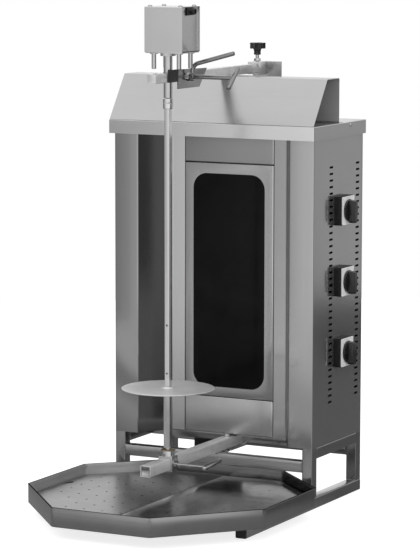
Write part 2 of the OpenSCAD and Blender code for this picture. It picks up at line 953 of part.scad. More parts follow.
// Lock nut on the clamp screw with its bent lever
module lock_lever() {
    color("silver") in_place() translate([26.5, -handle_y, handle_z]) difference() {
        union() {
            translate([-4, 0, 0]) rod_x(9, 8);
            translate([0, 0, 7]) bent_rod(4.8, 5, 18, 15, 89);
        }
        translate([-10, 0, 0]) rod_x(clamp_r + run_gap, 20);
    }
}

// ---- Motor unit ----

module motor_cover() {
    w = motor_w;
    d = motor_d;
    color("gainsboro") in_place() translate([-w / 2, -motor_mid_y - d / 2, motor_z])
        difference() {
            cube([w, d, motor_h]);
            translate([sheet_t, sheet_t, -1])
                cube([w - 2 * sheet_t, d - 2 * sheet_t, motor_h + 1 - sheet_t]);
            for (x = [-screw_x, screw_x])
                for (y = [-screw_y, screw_y])
                    translate([w / 2 + x, d / 2 + y, motor_h - 3]) cylinder(r = 2.2, h = 5);
        }
}

// Base plate with the flange that sits on the bearing tube and its key
module motor_base() {
    w = motor_w - 2 * sheet_t - 0.4;
    d = motor_d - 2 * sheet_t - 0.4;
    color("gray") in_place() difference() {
        union() {
            translate([-w / 2, -motor_mid_y - d / 2, motor_z - 2]) cube([w, d, 4]);
            translate([0, -spit_y, bearing_high]) cylinder(r = 16.5, h = motor_z - bearing_high);
            translate([-1.5, -spit_y + 7.3, bearing_high - 4.5]) cube([3, 2.2, 6]);
        }
        translate([0, -spit_y, bearing_high - 6]) cylinder(r = drive_r + run_gap, h = 30);
        for (x = [-pin_x, pin_x])
            for (y = [-pin_y, pin_y])
                translate([x, y - motor_mid_y, motor_z - 5]) cylinder(r = 4, h = 10);
    }
}

// Gearbox with the motor can on it
module gear_motor() {
    w = 66;
    d = 68;
    gearbox_h = 26;
    can_r = 30;
    can_h = 42;
    color("dimgray") in_place() difference() {
        union() {
            translate([-w / 2, -motor_mid_y - d / 2, motor_z + 2]) cube([w, d, gearbox_h]);
            translate([0, -motor_mid_y, motor_z + 2 + gearbox_h]) cylinder(r = can_r, h = can_h);
        }
        translate([0, -spit_y, motor_z]) cylinder(r = drive_r + run_gap, h = 20);
    }
}

// Shaft from the gearbox down through the bearing tube, square at its end
module drive_shaft() {
    square_end = 9.8;
    color("silver") in_place() translate([0, -spit_y, 0]) {
        translate([0, 0, bearing_low + 1]) cylinder(r = drive_r, h = motor_z + 18 - bearing_low - 1);
        translate([-square_end / 2, -square_end / 2, bearing_low - 16])
            cube([square_end, square_end, 18]);
    }
}

// Four pins under the base, each with its washer
module motor_pins() {
    color("silver") in_place() for (x = [-pin_x, pin_x])
        for (y = [-pin_y, pin_y])
            translate([x, y - motor_mid_y, 0]) {
                translate([0, 0, motor_z - 36]) cylinder(r = 5, h = 32);
                translate([0, 0, motor_z - 4]) cylinder(r = 9, h = 2);
                translate([0, 0, motor_z - 2]) cylinder(r = 3.9, h = 3.8);
            }
}

module cover_screws() {
    color("silver") in_place() for (x = [-screw_x, screw_x])
        for (y = [-screw_y, screw_y])
            translate([x, y - motor_mid_y, motor_z + motor_h]) pan_screw(4.6, 3.4, 8);
}

// Connector on the cover's right side: flange, socket and a small toggle beside it
module motor_connector() {
    flange = [4, 26, 17];
    color("black") in_place() translate([motor_w / 2, -motor_mid_y - 6, motor_z + motor_h - 10]) {
        translate([0, -14, -8]) cube(flange);
        translate([3, 3, 0]) rod_x(7, 9);
        translate([3, -9, 2]) rod_x(4, 6);
    }
}

// ---- Spit ----

// Square bar with a socket collar at its top and a round foot
module spit_bar() {
    s = spit_side;
    color("silver") in_place() translate([0, -spit_y, 0]) difference() {
        union() {
            translate([0, 0, foot_low]) cylinder(r = foot_r, h = 16);
            translate([-s / 2, -s / 2, foot_low + 15])
                cube([s, s, collar_low - foot_low - 14]);
            translate([0, 0, collar_low]) cylinder(r = collar_r, h = bearing_low - 0.5 - collar_low);
        }
        translate([-socket_side / 2, -socket_side / 2, bearing_low - 18])
            cube([socket_side, socket_side, 20]);
        for (z = [disc_z + 34, disc_z + 138])
            translate([0, 10, z]) rotate([90, 0, 0]) cylinder(r = 2.5, h = 20);
    }
}

// Thicker sleeve fixed round the lower part of the bar: the disc rests on it
module spit_sleeve() {
    color("silver") in_place() translate([0, -spit_y, foot_low + 15.5]) difference() {
        translate([-sleeve_side / 2, -sleeve_side / 2, 0])
            cube([sleeve_side, sleeve_side, disc_z - foot_low - 15.5]);
        translate([-spit_side / 2, -spit_side / 2, -1])
            cube([spit_side, spit_side, disc_z]);
        translate([0, 10, 60]) rotate([90, 0, 0]) cylinder(r = 2.5, h = 20);
    }
}

module spit_disc() {
    hole = spit_side + 0.5;
    color("silver") in_place() translate([0, -spit_y, disc_z]) difference() {
        union() {
            cylinder(r = disc_d / 2, h = 2.5, $fn = 128);
            cylinder(r = 13, h = 5);
        }
        translate([-hole / 2, -hole / 2, -1]) cube([hole, hole, 10]);
    }
}

skids();
skid_caps();
frame_legs();
side_rails();
front_rail();
rear_rail();
mid_rail();
casing_left();
casing_right();
back_panel();
bottom_plate();
top_cover();
hood();
window_panel();
upper_panel();
lower_panel();
ceramic_glass();
casing_screws();
heater_carrier();
heater_pan_top();
heater_pan_middle();
heater_pan_bottom();
heater_boards();
heater_ribbons();
switch_bases();
switch_plates();
switch_cams();
knob_top();
knob_middle();
knob_bottom();
terminal_box();
terminal_block();
cable_gland();
drip_tray();
insert_left();
insert_right();
lower_arm();
arm_plug();
arm_bolt();
carriage();
spit_cup();
lower_handle();
rear_bracket();
arm_clamp();
star_knob();
upper_arm();
bearing_block();
side_plate();
upper_handle();
lock_lever();
motor_cover();
motor_base();
gear_motor();
drive_shaft();
motor_pins();
cover_screws();
motor_connector();
spit_bar();
spit_sleeve();
spit_disc();
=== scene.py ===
import math
from functools import partial

import bmesh
import bpy
from mathutils import Matrix, Vector


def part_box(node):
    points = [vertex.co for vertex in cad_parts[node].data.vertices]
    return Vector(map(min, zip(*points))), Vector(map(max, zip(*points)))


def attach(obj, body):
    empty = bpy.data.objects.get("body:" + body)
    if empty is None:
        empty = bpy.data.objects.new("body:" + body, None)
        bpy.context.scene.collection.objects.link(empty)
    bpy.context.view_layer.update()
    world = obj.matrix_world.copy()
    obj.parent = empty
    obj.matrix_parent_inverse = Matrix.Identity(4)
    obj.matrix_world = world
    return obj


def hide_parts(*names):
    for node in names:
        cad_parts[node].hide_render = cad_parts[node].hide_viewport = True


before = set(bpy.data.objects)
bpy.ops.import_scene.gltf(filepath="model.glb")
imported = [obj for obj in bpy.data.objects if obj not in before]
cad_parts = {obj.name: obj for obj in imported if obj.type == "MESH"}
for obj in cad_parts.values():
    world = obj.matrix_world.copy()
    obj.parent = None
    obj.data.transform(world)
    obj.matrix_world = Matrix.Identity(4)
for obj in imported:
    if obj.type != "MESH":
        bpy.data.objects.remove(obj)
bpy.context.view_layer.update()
mm = 0.001
across = Vector((1, 0, 0))
back = Vector((0, 1, 0))
up = Vector((0, 0, 1))


# ---- working with meshes ----

def putDown():
    bpy.ops.object.select_all(action='DESELECT')


def takeUp(piece):
    putDown()
    piece.select_set(True)
    bpy.context.view_layer.objects.active = piece


def called(name):
    # names the newest object and settles its place into its mesh
    piece = bpy.context.object
    piece.name = name
    piece.data.name = name
    bpy.ops.object.transform_apply(location=True, rotation=True, scale=True)
    return piece


def block(name, low, high):
    putDown()
    low, high = Vector(low), Vector(high)
    bpy.ops.mesh.primitive_cube_add(size=1, location=(low + high) / 2, scale=high - low)
    return called(name)


def rod(name, start, end, radius, sides=40):
    putDown()
    start, end = Vector(start), Vector(end)
    run = end - start
    bpy.ops.mesh.primitive_cylinder_add(vertices=sides, radius=radius, depth=run.length,
                                        location=(start + end) / 2,
                                        rotation=run.to_track_quat('Z', 'Y').to_euler())
    return called(name)


def work(piece, kind, wanted, *steps):
    # opens the mesh, selects the wanted vertices, edges or faces and runs the steps on them
    takeUp(piece)
    bpy.ops.object.mode_set(mode='EDIT')
    bpy.ops.mesh.select_mode(type=kind)
    bpy.ops.mesh.select_all(action='DESELECT')
    cage = bmesh.from_edit_mesh(piece.data)
    cage.normal_update()
    for part in {'VERT': cage.verts, 'EDGE': cage.edges, 'FACE': cage.faces}[kind]:
        if wanted(part):
            part.select_set(True)
    cage.select_flush_mode()
    bmesh.update_edit_mesh(piece.data)
    for step in steps:
        step()
    bpy.ops.object.mode_set(mode='OBJECT')
    return piece


def rounded(width, steps=3):
    return lambda: bpy.ops.mesh.bevel(offset=width, segments=steps, affect='EDGES')


def pulled(move):
    return lambda: bpy.ops.mesh.extrude_region_move(TRANSFORM_OT_translate={'value': Vector(move)})


def moved(move):
    return lambda: bpy.ops.transform.translate(value=Vector(move))


def drawnIn(width):
    return lambda: bpy.ops.mesh.inset(thickness=width)


def shrunk(x, y, z, centre):
    return lambda: bpy.ops.transform.resize(value=(x, y, z), center_override=Vector(centre))


def sliced(point, normal):
    def step():
        bpy.ops.mesh.select_all(action='SELECT')
        bpy.ops.mesh.bisect(plane_co=point, plane_no=normal)
        bpy.ops.mesh.select_all(action='DESELECT')
    return step


def removed(kind):
    return lambda: bpy.ops.mesh.delete(type=kind)


def everything(part):
    return True


def runs(direction):
    # edges that lie along a direction
    def test(edge):
        run = edge.verts[1].co - edge.verts[0].co
        return run.length > 1e-7 and abs(run.normalized().dot(direction)) > 0.999
    return test


def faces(direction, least=0.99):
    return lambda face: face.normal.dot(Vector(direction)) > least


def byModifier(piece, kind, **settings):
    takeUp(piece)
    change = piece.modifiers.new(kind.title(), kind)
    for key, value in settings.items():
        setattr(change, key, value)
    bpy.ops.object.modifier_apply(modifier=change.name)
    return piece


def softened(piece, width, steps=2, angle=38):
    return byModifier(piece, 'BEVEL', width=width, segments=steps, limit_method='ANGLE',
                      angle_limit=math.radians(angle), use_clamp_overlap=True)


def cut(piece, cutter):
    byModifier(piece, 'BOOLEAN', operation='DIFFERENCE', solver='EXACT', object=cutter)
    bpy.data.objects.remove(cutter)
    return piece


def joined(name, parts):
    putDown()
    for part in parts:
        part.select_set(True)
    bpy.context.view_layer.objects.active = parts[0]
    if len(parts) > 1:
        bpy.ops.object.join()
    parts[0].name = name
    parts[0].data.name = name
    return parts[0]


def copied(piece, name, change):
    twin = piece.copy()
    twin.data = piece.data.copy()
    bpy.context.scene.collection.objects.link(twin)
    twin.data.transform(change)
    if change.determinant() < 0:
        twin.data.flip_normals()
    twin.name = name
    twin.data.name = name
    return twin


def traced(name, points):
    # a line of edges through the points, drawn from a single vertex
    putDown()
    bpy.ops.mesh.primitive_plane_add(size=0.001, location=points[0])
    line = called(name)
    bpy.ops.object.mode_set(mode='EDIT')
    bpy.ops.mesh.select_mode(type='VERT')
    bpy.ops.mesh.select_all(action='SELECT')
    bpy.ops.mesh.merge(type='CENTER')
    for here, there in zip(points, points[1:]):
        bpy.ops.mesh.extrude_region_move(TRANSFORM_OT_translate={'value': there - here})
    bpy.ops.object.mode_set(mode='OBJECT')
    return line


def outward(piece):
    return work(piece, 'FACE', everything,
                lambda: bpy.ops.mesh.normals_make_consistent(inside=False))


def foldedSheet(name, path, sweep, thickness, radius, side):
    # path is where the sheet's outer face runs; side says on which side of it the metal lies
    sheet = traced(name, [Vector(p) for p in path])
    work(sheet, 'VERT', everything, pulled(sweep))
    work(sheet, 'EDGE', lambda edge: len(edge.link_faces) == 2, rounded(radius, 4))
    byModifier(sheet, 'SOLIDIFY', thickness=thickness, offset=side, use_even_offset=True)
    return outward(sheet)


def turned(name, profile, place, axis, steps=40):
    # profile is a list of (radius, height along the axis) from the place, in mm
    axis = Vector(axis).normalized()
    place = Vector(place)
    reach = axis.orthogonal().normalized()
    line = traced(name, [place + (reach * r + axis * h) * mm for r, h in profile])
    work(line, 'VERT', everything,
         lambda: bpy.ops.mesh.spin(steps=steps, angle=2 * math.pi, center=place, axis=axis),
         lambda: bpy.ops.mesh.select_all(action='SELECT'),
         lambda: bpy.ops.mesh.remove_doubles(threshold=2e-6))
    return outward(line)


def hexagon(name, place, axis, radius, height):
    nut = rod(name, place, Vector(place) + axis * height, radius, 6)
    return work(nut, 'EDGE',
                lambda edge: abs((edge.verts[1].co - edge.verts[0].co).dot(axis)) < 1e-6,
                rounded(radius * 0.09, 2))


def barWithRoundEnds(name, start, end, radius, dome):
    # profile from one pole to the other, with domed ends; the radius is in mm
    length, bend = (end - start).length / mm, radius * dome
    arc = [(radius - bend + bend * math.sin(a), bend - bend * math.cos(a))
           for a in (math.pi / 8 * k for k in range(5))]
    profile = [(0, 0)] + arc + [(r, length - h) for r, h in reversed(arc)] + [(0, length)]
    return turned(name, profile, start, end - start, 32)


def solidsOf(node):
    # low and high corners of each separate solid in a CAD node
    mesh = bmesh.new()
    mesh.from_mesh(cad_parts[node].data)
    bmesh.ops.remove_doubles(mesh, verts=mesh.verts, dist=1e-6)
    left, found = set(mesh.verts), []
    while left:
        group, queue = [], [next(iter(left))]
        left.discard(queue[0])
        while queue:
            here = queue.pop()
            group.append(here.co.copy())
            for link in here.link_edges:
                there = link.other_vert(here)
                if there in left:
                    left.discard(there)
                    queue.append(there)
        low = Vector(min(p[i] for p in group) for i in range(3))
        high = Vector(max(p[i] for p in group) for i in range(3))
        found.append((low, high))
    mesh.free()
    return sorted(found, key=lambda b: tuple(round(v, 4) for v in b[0]))


def fromCad(node, name, width, steps=2):
    # a copy of a CAD node's mesh with its flat faces made whole and its edges softened
    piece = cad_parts[node].copy()
    piece.data = piece.data.copy()
    for key in list(piece.keys()):
        del piece[key]
    piece.parent = None
    bpy.context.scene.collection.objects.link(piece)
    piece.name = name
    piece.data.name = name
    piece.data.materials.clear()
    work(piece, 'VERT', everything,
         lambda: bpy.ops.mesh.remove_doubles(threshold=1e-6),
         lambda: bpy.ops.mesh.customdata_custom_splitnormals_clear(),
         lambda: bpy.ops.mesh.dissolve_limited(angle_limit=math.radians(0.6)))
    return softened(piece, width, steps)


def fitted(piece, look, body, slot, *nodes):
    # gives a finished piece its smooth shading, material and body
    takeUp(piece)
    piece.data.materials.clear()
    piece.data.materials.append(finish[look])
    bpy.ops.object.shade_smooth_by_angle(angle=math.radians(32))
    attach(piece, body)
    if nodes:
        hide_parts(*nodes)
    return piece


def dressed(node, name, width, look, body, slot, steps=2):
    # a CAD node with its edges softened by a width in mm
    return fitted(fromCad(node, name, width * mm, steps), look, body, slot, node)


def refaced(piece, look, wanted):
    # a second finish on the faces that are wanted
    piece.data.materials.append(finish[look])
    last = len(piece.data.materials) - 1
    for face in piece.data.polygons:
        if wanted(face):
            face.material_index = last
    return piece


# ---- working with shader nodes ----

def place(tree, kind, **values):
    # adds a node; each value is a choice, a socket's value or a socket to link from
    node = tree.nodes.new('ShaderNode' + kind)
    for key, value in values.items():
        if key not in node.inputs:
            setattr(node, key, value)
        elif isinstance(value, bpy.types.NodeSocket):
            tree.links.new(value, node.inputs[key])
        else:
            node.inputs[key].default_value = value
    return node


def maths(tree, operation, first, second):
    node = place(tree, 'Math', operation=operation)
    for socket, value in zip(node.inputs, (first, second)):
        if isinstance(value, (int, float)):
            socket.default_value = value
        else:
            tree.links.new(value, socket)
    return node.outputs[0]


def sums(tree):
    return [partial(maths, tree, kind) for kind in ('ADD', 'SUBTRACT', 'MULTIPLY')]


def noise(tree, vector, scale, detail, distortion=0.0):
    return place(tree, 'TexNoise', Vector=vector, Scale=scale, Detail=detail,
                 Distortion=distortion).outputs['Fac']


def remap(tree, value, low, high, newLow=0.0, newHigh=1.0):
    return place(tree, 'MapRange', **{'Value': value, 'From Min': low, 'From Max': high,
                                      'To Min': newLow, 'To Max': newHigh}).outputs[0]


def mixed(tree, amount, first, second):
    mix = place(tree, 'Mix', data_type='RGBA', Factor=amount, A=first, B=second)
    return mix.outputs['Result']


def blended(tree, kind, shaders, **values):
    # the sum or the mix of two shaders
    node = place(tree, kind, **values)
    sockets = [socket for socket in node.inputs if socket.type == 'SHADER']
    for socket, shader in zip(sockets, shaders):
        tree.links.new(shader.outputs[0], socket)
    return node


def grey(tone):
    return (tone, tone, tone, 1)


def toneBy(tree, value, tones):
    # grey that follows a value, from a list of (value, grey)
    first, last = tones[0][0], tones[-1][0]
    ramp = place(tree, 'ValToRGB', Fac=remap(tree, value, first, last))
    marks = ramp.color_ramp.elements
    marks[0].color, marks[1].color = grey(tones[0][1]), grey(tones[-1][1])
    for at, tone in tones[1:-1]:
        marks.new((at - first) / (last - first)).color = grey(tone)
    return ramp.outputs['Color']


def emptyMaterial(name):
    material = bpy.data.materials.new(name)
    material.use_nodes = True
    material.node_tree.nodes.clear()
    return material, material.node_tree


# ---- camera, light and floor ----

shot = {
    'place': (2.7903, -5.3160, 1.2890),
    'azimuth': 27.20,
    'elevation': 7.32,
    'roll': 0.09,
    'lens': 183.36,
}


def setCamera():
    a, e = math.radians(shot['azimuth']), math.radians(shot['elevation'])
    behind = Vector((math.sin(a) * math.cos(e), -math.cos(a) * math.cos(e), math.sin(e)))
    turn = behind.to_track_quat('Z', 'Y').to_matrix()
    turn = turn @ Matrix.Rotation(math.radians(shot['roll']), 3, 'Z')
    bpy.ops.object.camera_add(location=shot['place'], rotation=turn.to_euler())
    camera = bpy.context.object
    camera.name = 'shotCamera'
    camera.data.lens = shot['lens']
    camera.data.sensor_width = 36
    camera.data.clip_end = 60
    bpy.context.scene.camera = camera


studio = {
    'roomLevel': 0.75,
    'lamps': [
        # name, place, size, watts
        ('keyLamp', (-2.6, -3.6, 4.2), 4.0, 62),
        ('fillLamp', (4.2, -2.0, 3.6), 3.6, 34),
        ('backLamp', (0.6, 4.2, 3.6), 3.2, 24),
    ],
    'aim': (0, 0, 0.5),
    'middle': (0.23, 0.44, 0),
    'radius': 3.15,
    # the floor's grey for the camera, what lifts it to white, and its grey as a plain reflector
    'floorSeen': 0.5, 'floorLift': 0.78, 'floorPlain': 0.55,
    # how light the floor looks in the steel, from its front edge to its back edge
    'floorTones': ((-2.8, 0.76), (-1.45, 0.76), (-1.3, 0.36), (-1.05, 0.4), (-0.85, 0.62),
                   (-0.5, 0.36), (0.1, 0.25), (0.3, 0.14), (1.95, 0.12), (2.1, 0.06),
                   (3.6, 0.05)),
    'floorGlow': 0.6,
    'cardHeight': 2.2,
    # how light the card looks in the steel, in turns from its left end past the front
    'cardTones': ((0.0, 0.2), (0.1, 0.35), (0.15, 0.55), (0.161, 0.6), (0.167, 0.68),
                  (0.18, 0.72), (0.187, 0.8), (0.25, 0.9), (0.3, 1.0), (0.44, 1.0),
                  (0.46, 0.12), (0.54, 0.12), (0.6, 0.47), (0.69, 0.47), (0.72, 0.25),
                  (0.77, 0.3), (0.81, 1.0), (0.88, 1.0), (0.92, 0.25), (1.0, 0.2)),
}


def setRoom():
    # white where the camera or a mirror sees it, and a plain level as light
    world = bpy.data.worlds.new('studioRoom')
    bpy.context.scene.world = world
    world.use_nodes = True
    tree = world.node_tree
    tree.nodes.clear()
    path = place(tree, 'LightPath').outputs
    seen = maths(tree, 'MAXIMUM', path['Is Camera Ray'], path['Is Glossy Ray'])
    seen = maths(tree, 'MAXIMUM', seen, path['Is Transmission Ray'])
    sky = place(tree, 'Background', Color=grey(1),
                Strength=remap(tree, seen, 0, 1, studio['roomLevel'], 1.0))
    place(tree, 'OutputWorld', Surface=sky.outputs[0])


def setLamps():
    for name, spot, size, watts in studio['lamps']:
        aim = (Vector(spot) - Vector(studio['aim'])).to_track_quat('Z', 'Y').to_euler()
        bpy.ops.object.light_add(type='AREA', location=spot, rotation=aim)
        lamp = bpy.context.object
        lamp.name = name
        lamp.data.shape = 'DISK'
        lamp.data.size = size
        lamp.data.energy = watts
        lamp.visible_glossy = False  # the steel shows the room, the floor and the card


def setFloor():
    putDown()
    bpy.ops.mesh.primitive_circle_add(vertices=128, radius=studio['radius'], fill_type='NGON',
                                      location=Vector(studio['middle']) - up * 0.5 * mm)
    floor = called('studioFloor')
    paper, tree = emptyMaterial('floorPaper')
    path = place(tree, 'LightPath').outputs
    split = place(tree, 'SeparateXYZ', Vector=place(tree, 'TexCoord').outputs['Object'])
    tone = toneBy(tree, split.outputs['Y'], studio['floorTones'])
    inSteel = blended(tree, 'MixShader', (place(tree, 'BsdfDiffuse', Color=tone),
                                          place(tree, 'Emission', Color=tone)),
                      Fac=studio['floorGlow'])
    plain = place(tree, 'BsdfDiffuse', Color=grey(studio['floorPlain']))
    bright = blended(tree, 'AddShader',
                     (place(tree, 'BsdfDiffuse', Color=grey(studio['floorSeen'])),
                      place(tree, 'Emission', Strength=studio['floorLift'])))
    unseen = blended(tree, 'MixShader', (plain, inSteel), Fac=path['Is Glossy Ray'])
    mix = blended(tree, 'MixShader', (unseen, bright), Fac=path['Is Camera Ray'])
    place(tree, 'OutputMaterial', Surface=mix.outputs[0])
    floor.data.materials.append(paper)


def setCard():
    # a grey card round the floor, which only shows in the steel
    height = studio['cardHeight']
    putDown()
    bpy.ops.mesh.primitive_cylinder_add(
        vertices=128, radius=studio['radius'], depth=height, end_fill_type='NOTHING',
        location=Vector(studio['middle']) + up * height / 2)
    card = called('roundCard')
    greys, tree = emptyMaterial('cardGrey')
    turn = place(tree, 'TexGradient', gradient_type='RADIAL',
                 Vector=place(tree, 'TexCoord').outputs['Object'])
    glow = place(tree, 'Emission', Color=toneBy(tree, turn.outputs['Fac'], studio['cardTones']))
    mix = blended(tree, 'MixShader', (place(tree, 'BsdfTransparent'), glow),
                  Fac=place(tree, 'LightPath').outputs['Is Glossy Ray'])
    place(tree, 'OutputMaterial', Surface=mix.outputs[0])
    card.data.materials.append(greys)


setCamera()
setRoom()
setLamps()
setFloor()
setCard()
bpy.context.scene.view_settings.view_transform = 'Standard'
print('camera, room, lamps, floor and card are set')


# ---- materials ----

def newGroup(name, inputs, outputs):
    tree = bpy.data.node_groups.new(name, 'ShaderNodeTree')
    for label, kind, value in inputs:
        socket = tree.interface.new_socket(name=label, in_out='INPUT',
                                           socket_type='NodeSocket' + kind)
        socket.default_value = value
    for label, kind in outputs:
        tree.interface.new_socket(name=label, in_out='OUTPUT', socket_type='NodeSocket' + kind)
    return tree, tree.nodes.new('NodeGroupInput').outputs, tree.nodes.new('NodeGroupOutput')


def give(tree, made, **results):
    for label, socket in results.items():
        tree.links.new(socket, made.inputs[label])
    return tree


surfaceParts = [('Color', 'Color'), ('Roughness', 'Float'), ('Height', 'Float')]


def makeBrushedSteel():
    # streaks that follow the grain, soft handling marks, and a faint waviness of thin sheet
    tree, given, made = newGroup('brushedSteel', [
        ('Place', 'Vector', (0, 0, 0)),
        ('Stretch', 'Vector', (1, 1, 1)),
        ('Tone', 'Color', (0.5, 0.5, 0.5, 1)),
        ('Grain Tone', 'Float', 0.1),
        ('Marks Tone', 'Float', 0.06),
        ('Marks Scale', 'Float', 7.0),
        ('Roughness', 'Float', 0.3),
        ('Roughness Spread', 'Float', 0.1),
        ('Grain Height', 'Float', 0.012),
        ('Wave Height', 'Float', 0.05),
    ], surfaceParts)
    plus, minus, times = sums(tree)
    stretch = place(tree, 'VectorMath', operation='MULTIPLY')
    tree.links.new(given['Place'], stretch.inputs[0])
    tree.links.new(given['Stretch'], stretch.inputs[1])
    # fine, middle and broad streaks: scale, detail and share
    streak = None
    for scale, detail, share in ((0.035, 1.0, 0.12), (0.19, 2.0, 0.26), (1.0, 2.0, 0.62)):
        part = times(noise(tree, stretch.outputs[0], scale, detail), share)
        streak = plus(part, streak) if streak else part
    scaled = place(tree, 'VectorMath', operation='SCALE', Vector=given['Place'],
                   Scale=given['Marks Scale']).outputs[0]
    marks = noise(tree, scaled, 1.0, 3.0, 0.6)
    # tone * (1 + grain * 4 * (streak - 0.5) + marks * 4 * (marks - 0.5))
    grainPart = times(minus(streak, 0.5), times(given['Grain Tone'], 4.0))
    marksPart = times(minus(marks, 0.5), times(given['Marks Tone'], 4.0))
    tone = place(tree, 'VectorMath', operation='SCALE', Vector=given['Tone'],
                 Scale=plus(plus(grainPart, marksPart), 1.0))
    rough = times(minus(plus(marks, streak), 1.0), times(given['Roughness Spread'], 2.0))
    wave = noise(tree, scaled, 0.7, 1.0, 0.3)
    return give(tree, made, Color=tone.outputs[0], Roughness=plus(rough, given['Roughness']),
                Height=plus(times(streak, given['Grain Height']),
                            times(wave, given['Wave Height'])))


def makeMoulded():
    # the fine pebble of a plastic moulding, with a dusty bloom
    tree, given, made = newGroup('mouldedPlastic', [
        ('Place', 'Vector', (0, 0, 0)),
        ('Tone', 'Color', (0.03, 0.03, 0.03, 1)),
        ('Bloom', 'Color', (0.12, 0.12, 0.12, 1)),
        ('Bloom Amount', 'Float', 0.2),
        ('Roughness', 'Float', 0.4),
        ('Pebble Scale', 'Float', 900.0),
    ], surfaceParts)
    plus, _, times = sums(tree)
    patches = remap(tree, noise(tree, given['Place'], 45.0, 4.0, 0.4), 0.38, 0.72)
    pebble = place(tree, 'TexVoronoi', Vector=given['Place'], Scale=given['Pebble Scale'])
    return give(tree, made, Color=mixed(tree, times(patches, given['Bloom Amount']),
                                        given['Tone'], given['Bloom']),
                Roughness=plus(given['Roughness'], times(patches, 0.12)),
                Height=pebble.outputs['Distance'])


def makeScratches():
    # short fine scratches lying every way, from stretched noise in three directions
    tree, given, made = newGroup('fineScratches', [
        ('Place', 'Vector', (0, 0, 0)),
        ('Amount', 'Float', 0.5),
    ], [('Mask', 'Float')])
    total = None
    for turn, shift in ((0.4, 0.0), (1.5, 3.1), (2.5, 7.7)):
        way = place(tree, 'Mapping', Rotation=(0.3 * turn, 0.2, turn), Scale=(26, 520, 520),
                    Location=(shift, shift, 0), Vector=given['Place'])
        line = remap(tree, noise(tree, way.outputs[0], 1.0, 1.0), 0.66, 0.74)
        total = maths(tree, 'MAXIMUM', total, line) if total else line
    return give(tree, made, Mask=maths(tree, 'MULTIPLY', total, given['Amount']))


brushedSteel = makeBrushedSteel()
mouldedPlastic = makeMoulded()
fineScratches = makeScratches()

# how the streaks are drawn out along the grain
along = {
    'x': (14, 1500, 1500),
    'y': (1500, 14, 1500),
    'z': (1500, 1500, 14),
    'round': (420, 420, 420),
}


def blank(name, **values):
    material, tree = emptyMaterial(name)
    shader = place(tree, 'BsdfPrincipled', **values)
    place(tree, 'OutputMaterial', Surface=shader.outputs[0])
    return material, tree, shader, place(tree, 'TexCoord').outputs['Object']


def dress(tree, shader, color, roughness, height=None, strength=1.0, distance=1 * mm):
    tree.links.new(color, shader.inputs['Base Color'])
    tree.links.new(roughness, shader.inputs['Roughness'])
    if height:
        bump = place(tree, 'Bump', Strength=strength, Distance=distance, Height=height)
        tree.links.new(bump.outputs[0], shader.inputs['Normal'])


def steel(name, tone, grain, roughness, spread=0.05, grainTone=0.05, marks=0.04, marksScale=7.0,
          wave=0.05, scratches=0.0, metal=1.0):
    # wave is in millimetres
    material, tree, shader, spot = blank(name, Metallic=metal)
    surface = place(tree, 'Group', node_tree=brushedSteel, Place=spot, Stretch=along[grain],
                    Tone=(tone, tone, tone * 1.005, 1), Roughness=roughness, **{
                        'Grain Tone': grainTone, 'Marks Tone': marks, 'Marks Scale': marksScale,
                        'Roughness Spread': spread, 'Wave Height': wave}).outputs
    color = surface['Color']
    if scratches:
        lines = place(tree, 'Group', node_tree=fineScratches, Place=spot, Amount=scratches)
        color = mixed(tree, lines.outputs['Mask'], color, grey(min(1, tone * 1.6)))
    dress(tree, shader, color, surface['Roughness'], surface['Height'])
    return material


def plastic(name, tone, bloom, roughness, amount=0.25, pebble=900.0, bump=0.12, shine=0.5):
    material, tree, shader, spot = blank(name, **{'Specular IOR Level': shine})
    surface = place(tree, 'Group', node_tree=mouldedPlastic, Place=spot, Tone=grey(tone),
                    Bloom=grey(bloom), Roughness=roughness,
                    **{'Bloom Amount': amount, 'Pebble Scale': pebble}).outputs
    dress(tree, shader, surface['Color'], surface['Roughness'], surface['Height'], bump, 0.3 * mm)
    return material


def mottled(name, pattern, colors, rough, bump=0.0, **values):
    # two colours in soft clouds; the pattern is the noise's scale, detail and distortion
    material, tree, shader, spot = blank(name, **values)
    cloud = noise(tree, spot, *pattern)
    dress(tree, shader, mixed(tree, cloud, *colors), remap(tree, cloud, 0.3, 0.7, *rough),
          cloud if bump else None, bump, 2 * mm)
    return material


def ceramicGlass():
    # black glass ceramic: a smooth face with a faint haze of wiping
    material, tree, shader, spot = blank('ceramicGlass', **{'Specular IOR Level': 0.09})
    haze = remap(tree, noise(tree, spot, 9.0, 4.0, 1.2), 0.35, 0.75)
    color = mixed(tree, haze, (0.0055, 0.0055, 0.0058, 1), (0.0085, 0.0085, 0.0088, 1))
    dress(tree, shader, color, remap(tree, haze, 0.0, 1.0, 0.12, 0.2))
    return material


def turnedBronze():
    # turned rings round the cup, with a darker tarnish
    material, tree, shader, spot = blank('turnedBronze', Metallic=1.0)
    stretch = place(tree, 'Mapping', Scale=(60, 60, 2600), Vector=spot)
    rings = noise(tree, stretch.outputs[0], 1.0, 2.0)
    color = mixed(tree, noise(tree, spot, 90.0, 4.0, 0.5), (0.26, 0.2, 0.13, 1),
                  (0.5, 0.4, 0.26, 1))
    dress(tree, shader, color, remap(tree, rings, 0.3, 0.7, 0.22, 0.42), rings, 0.2, 0.4 * mm)
    return material


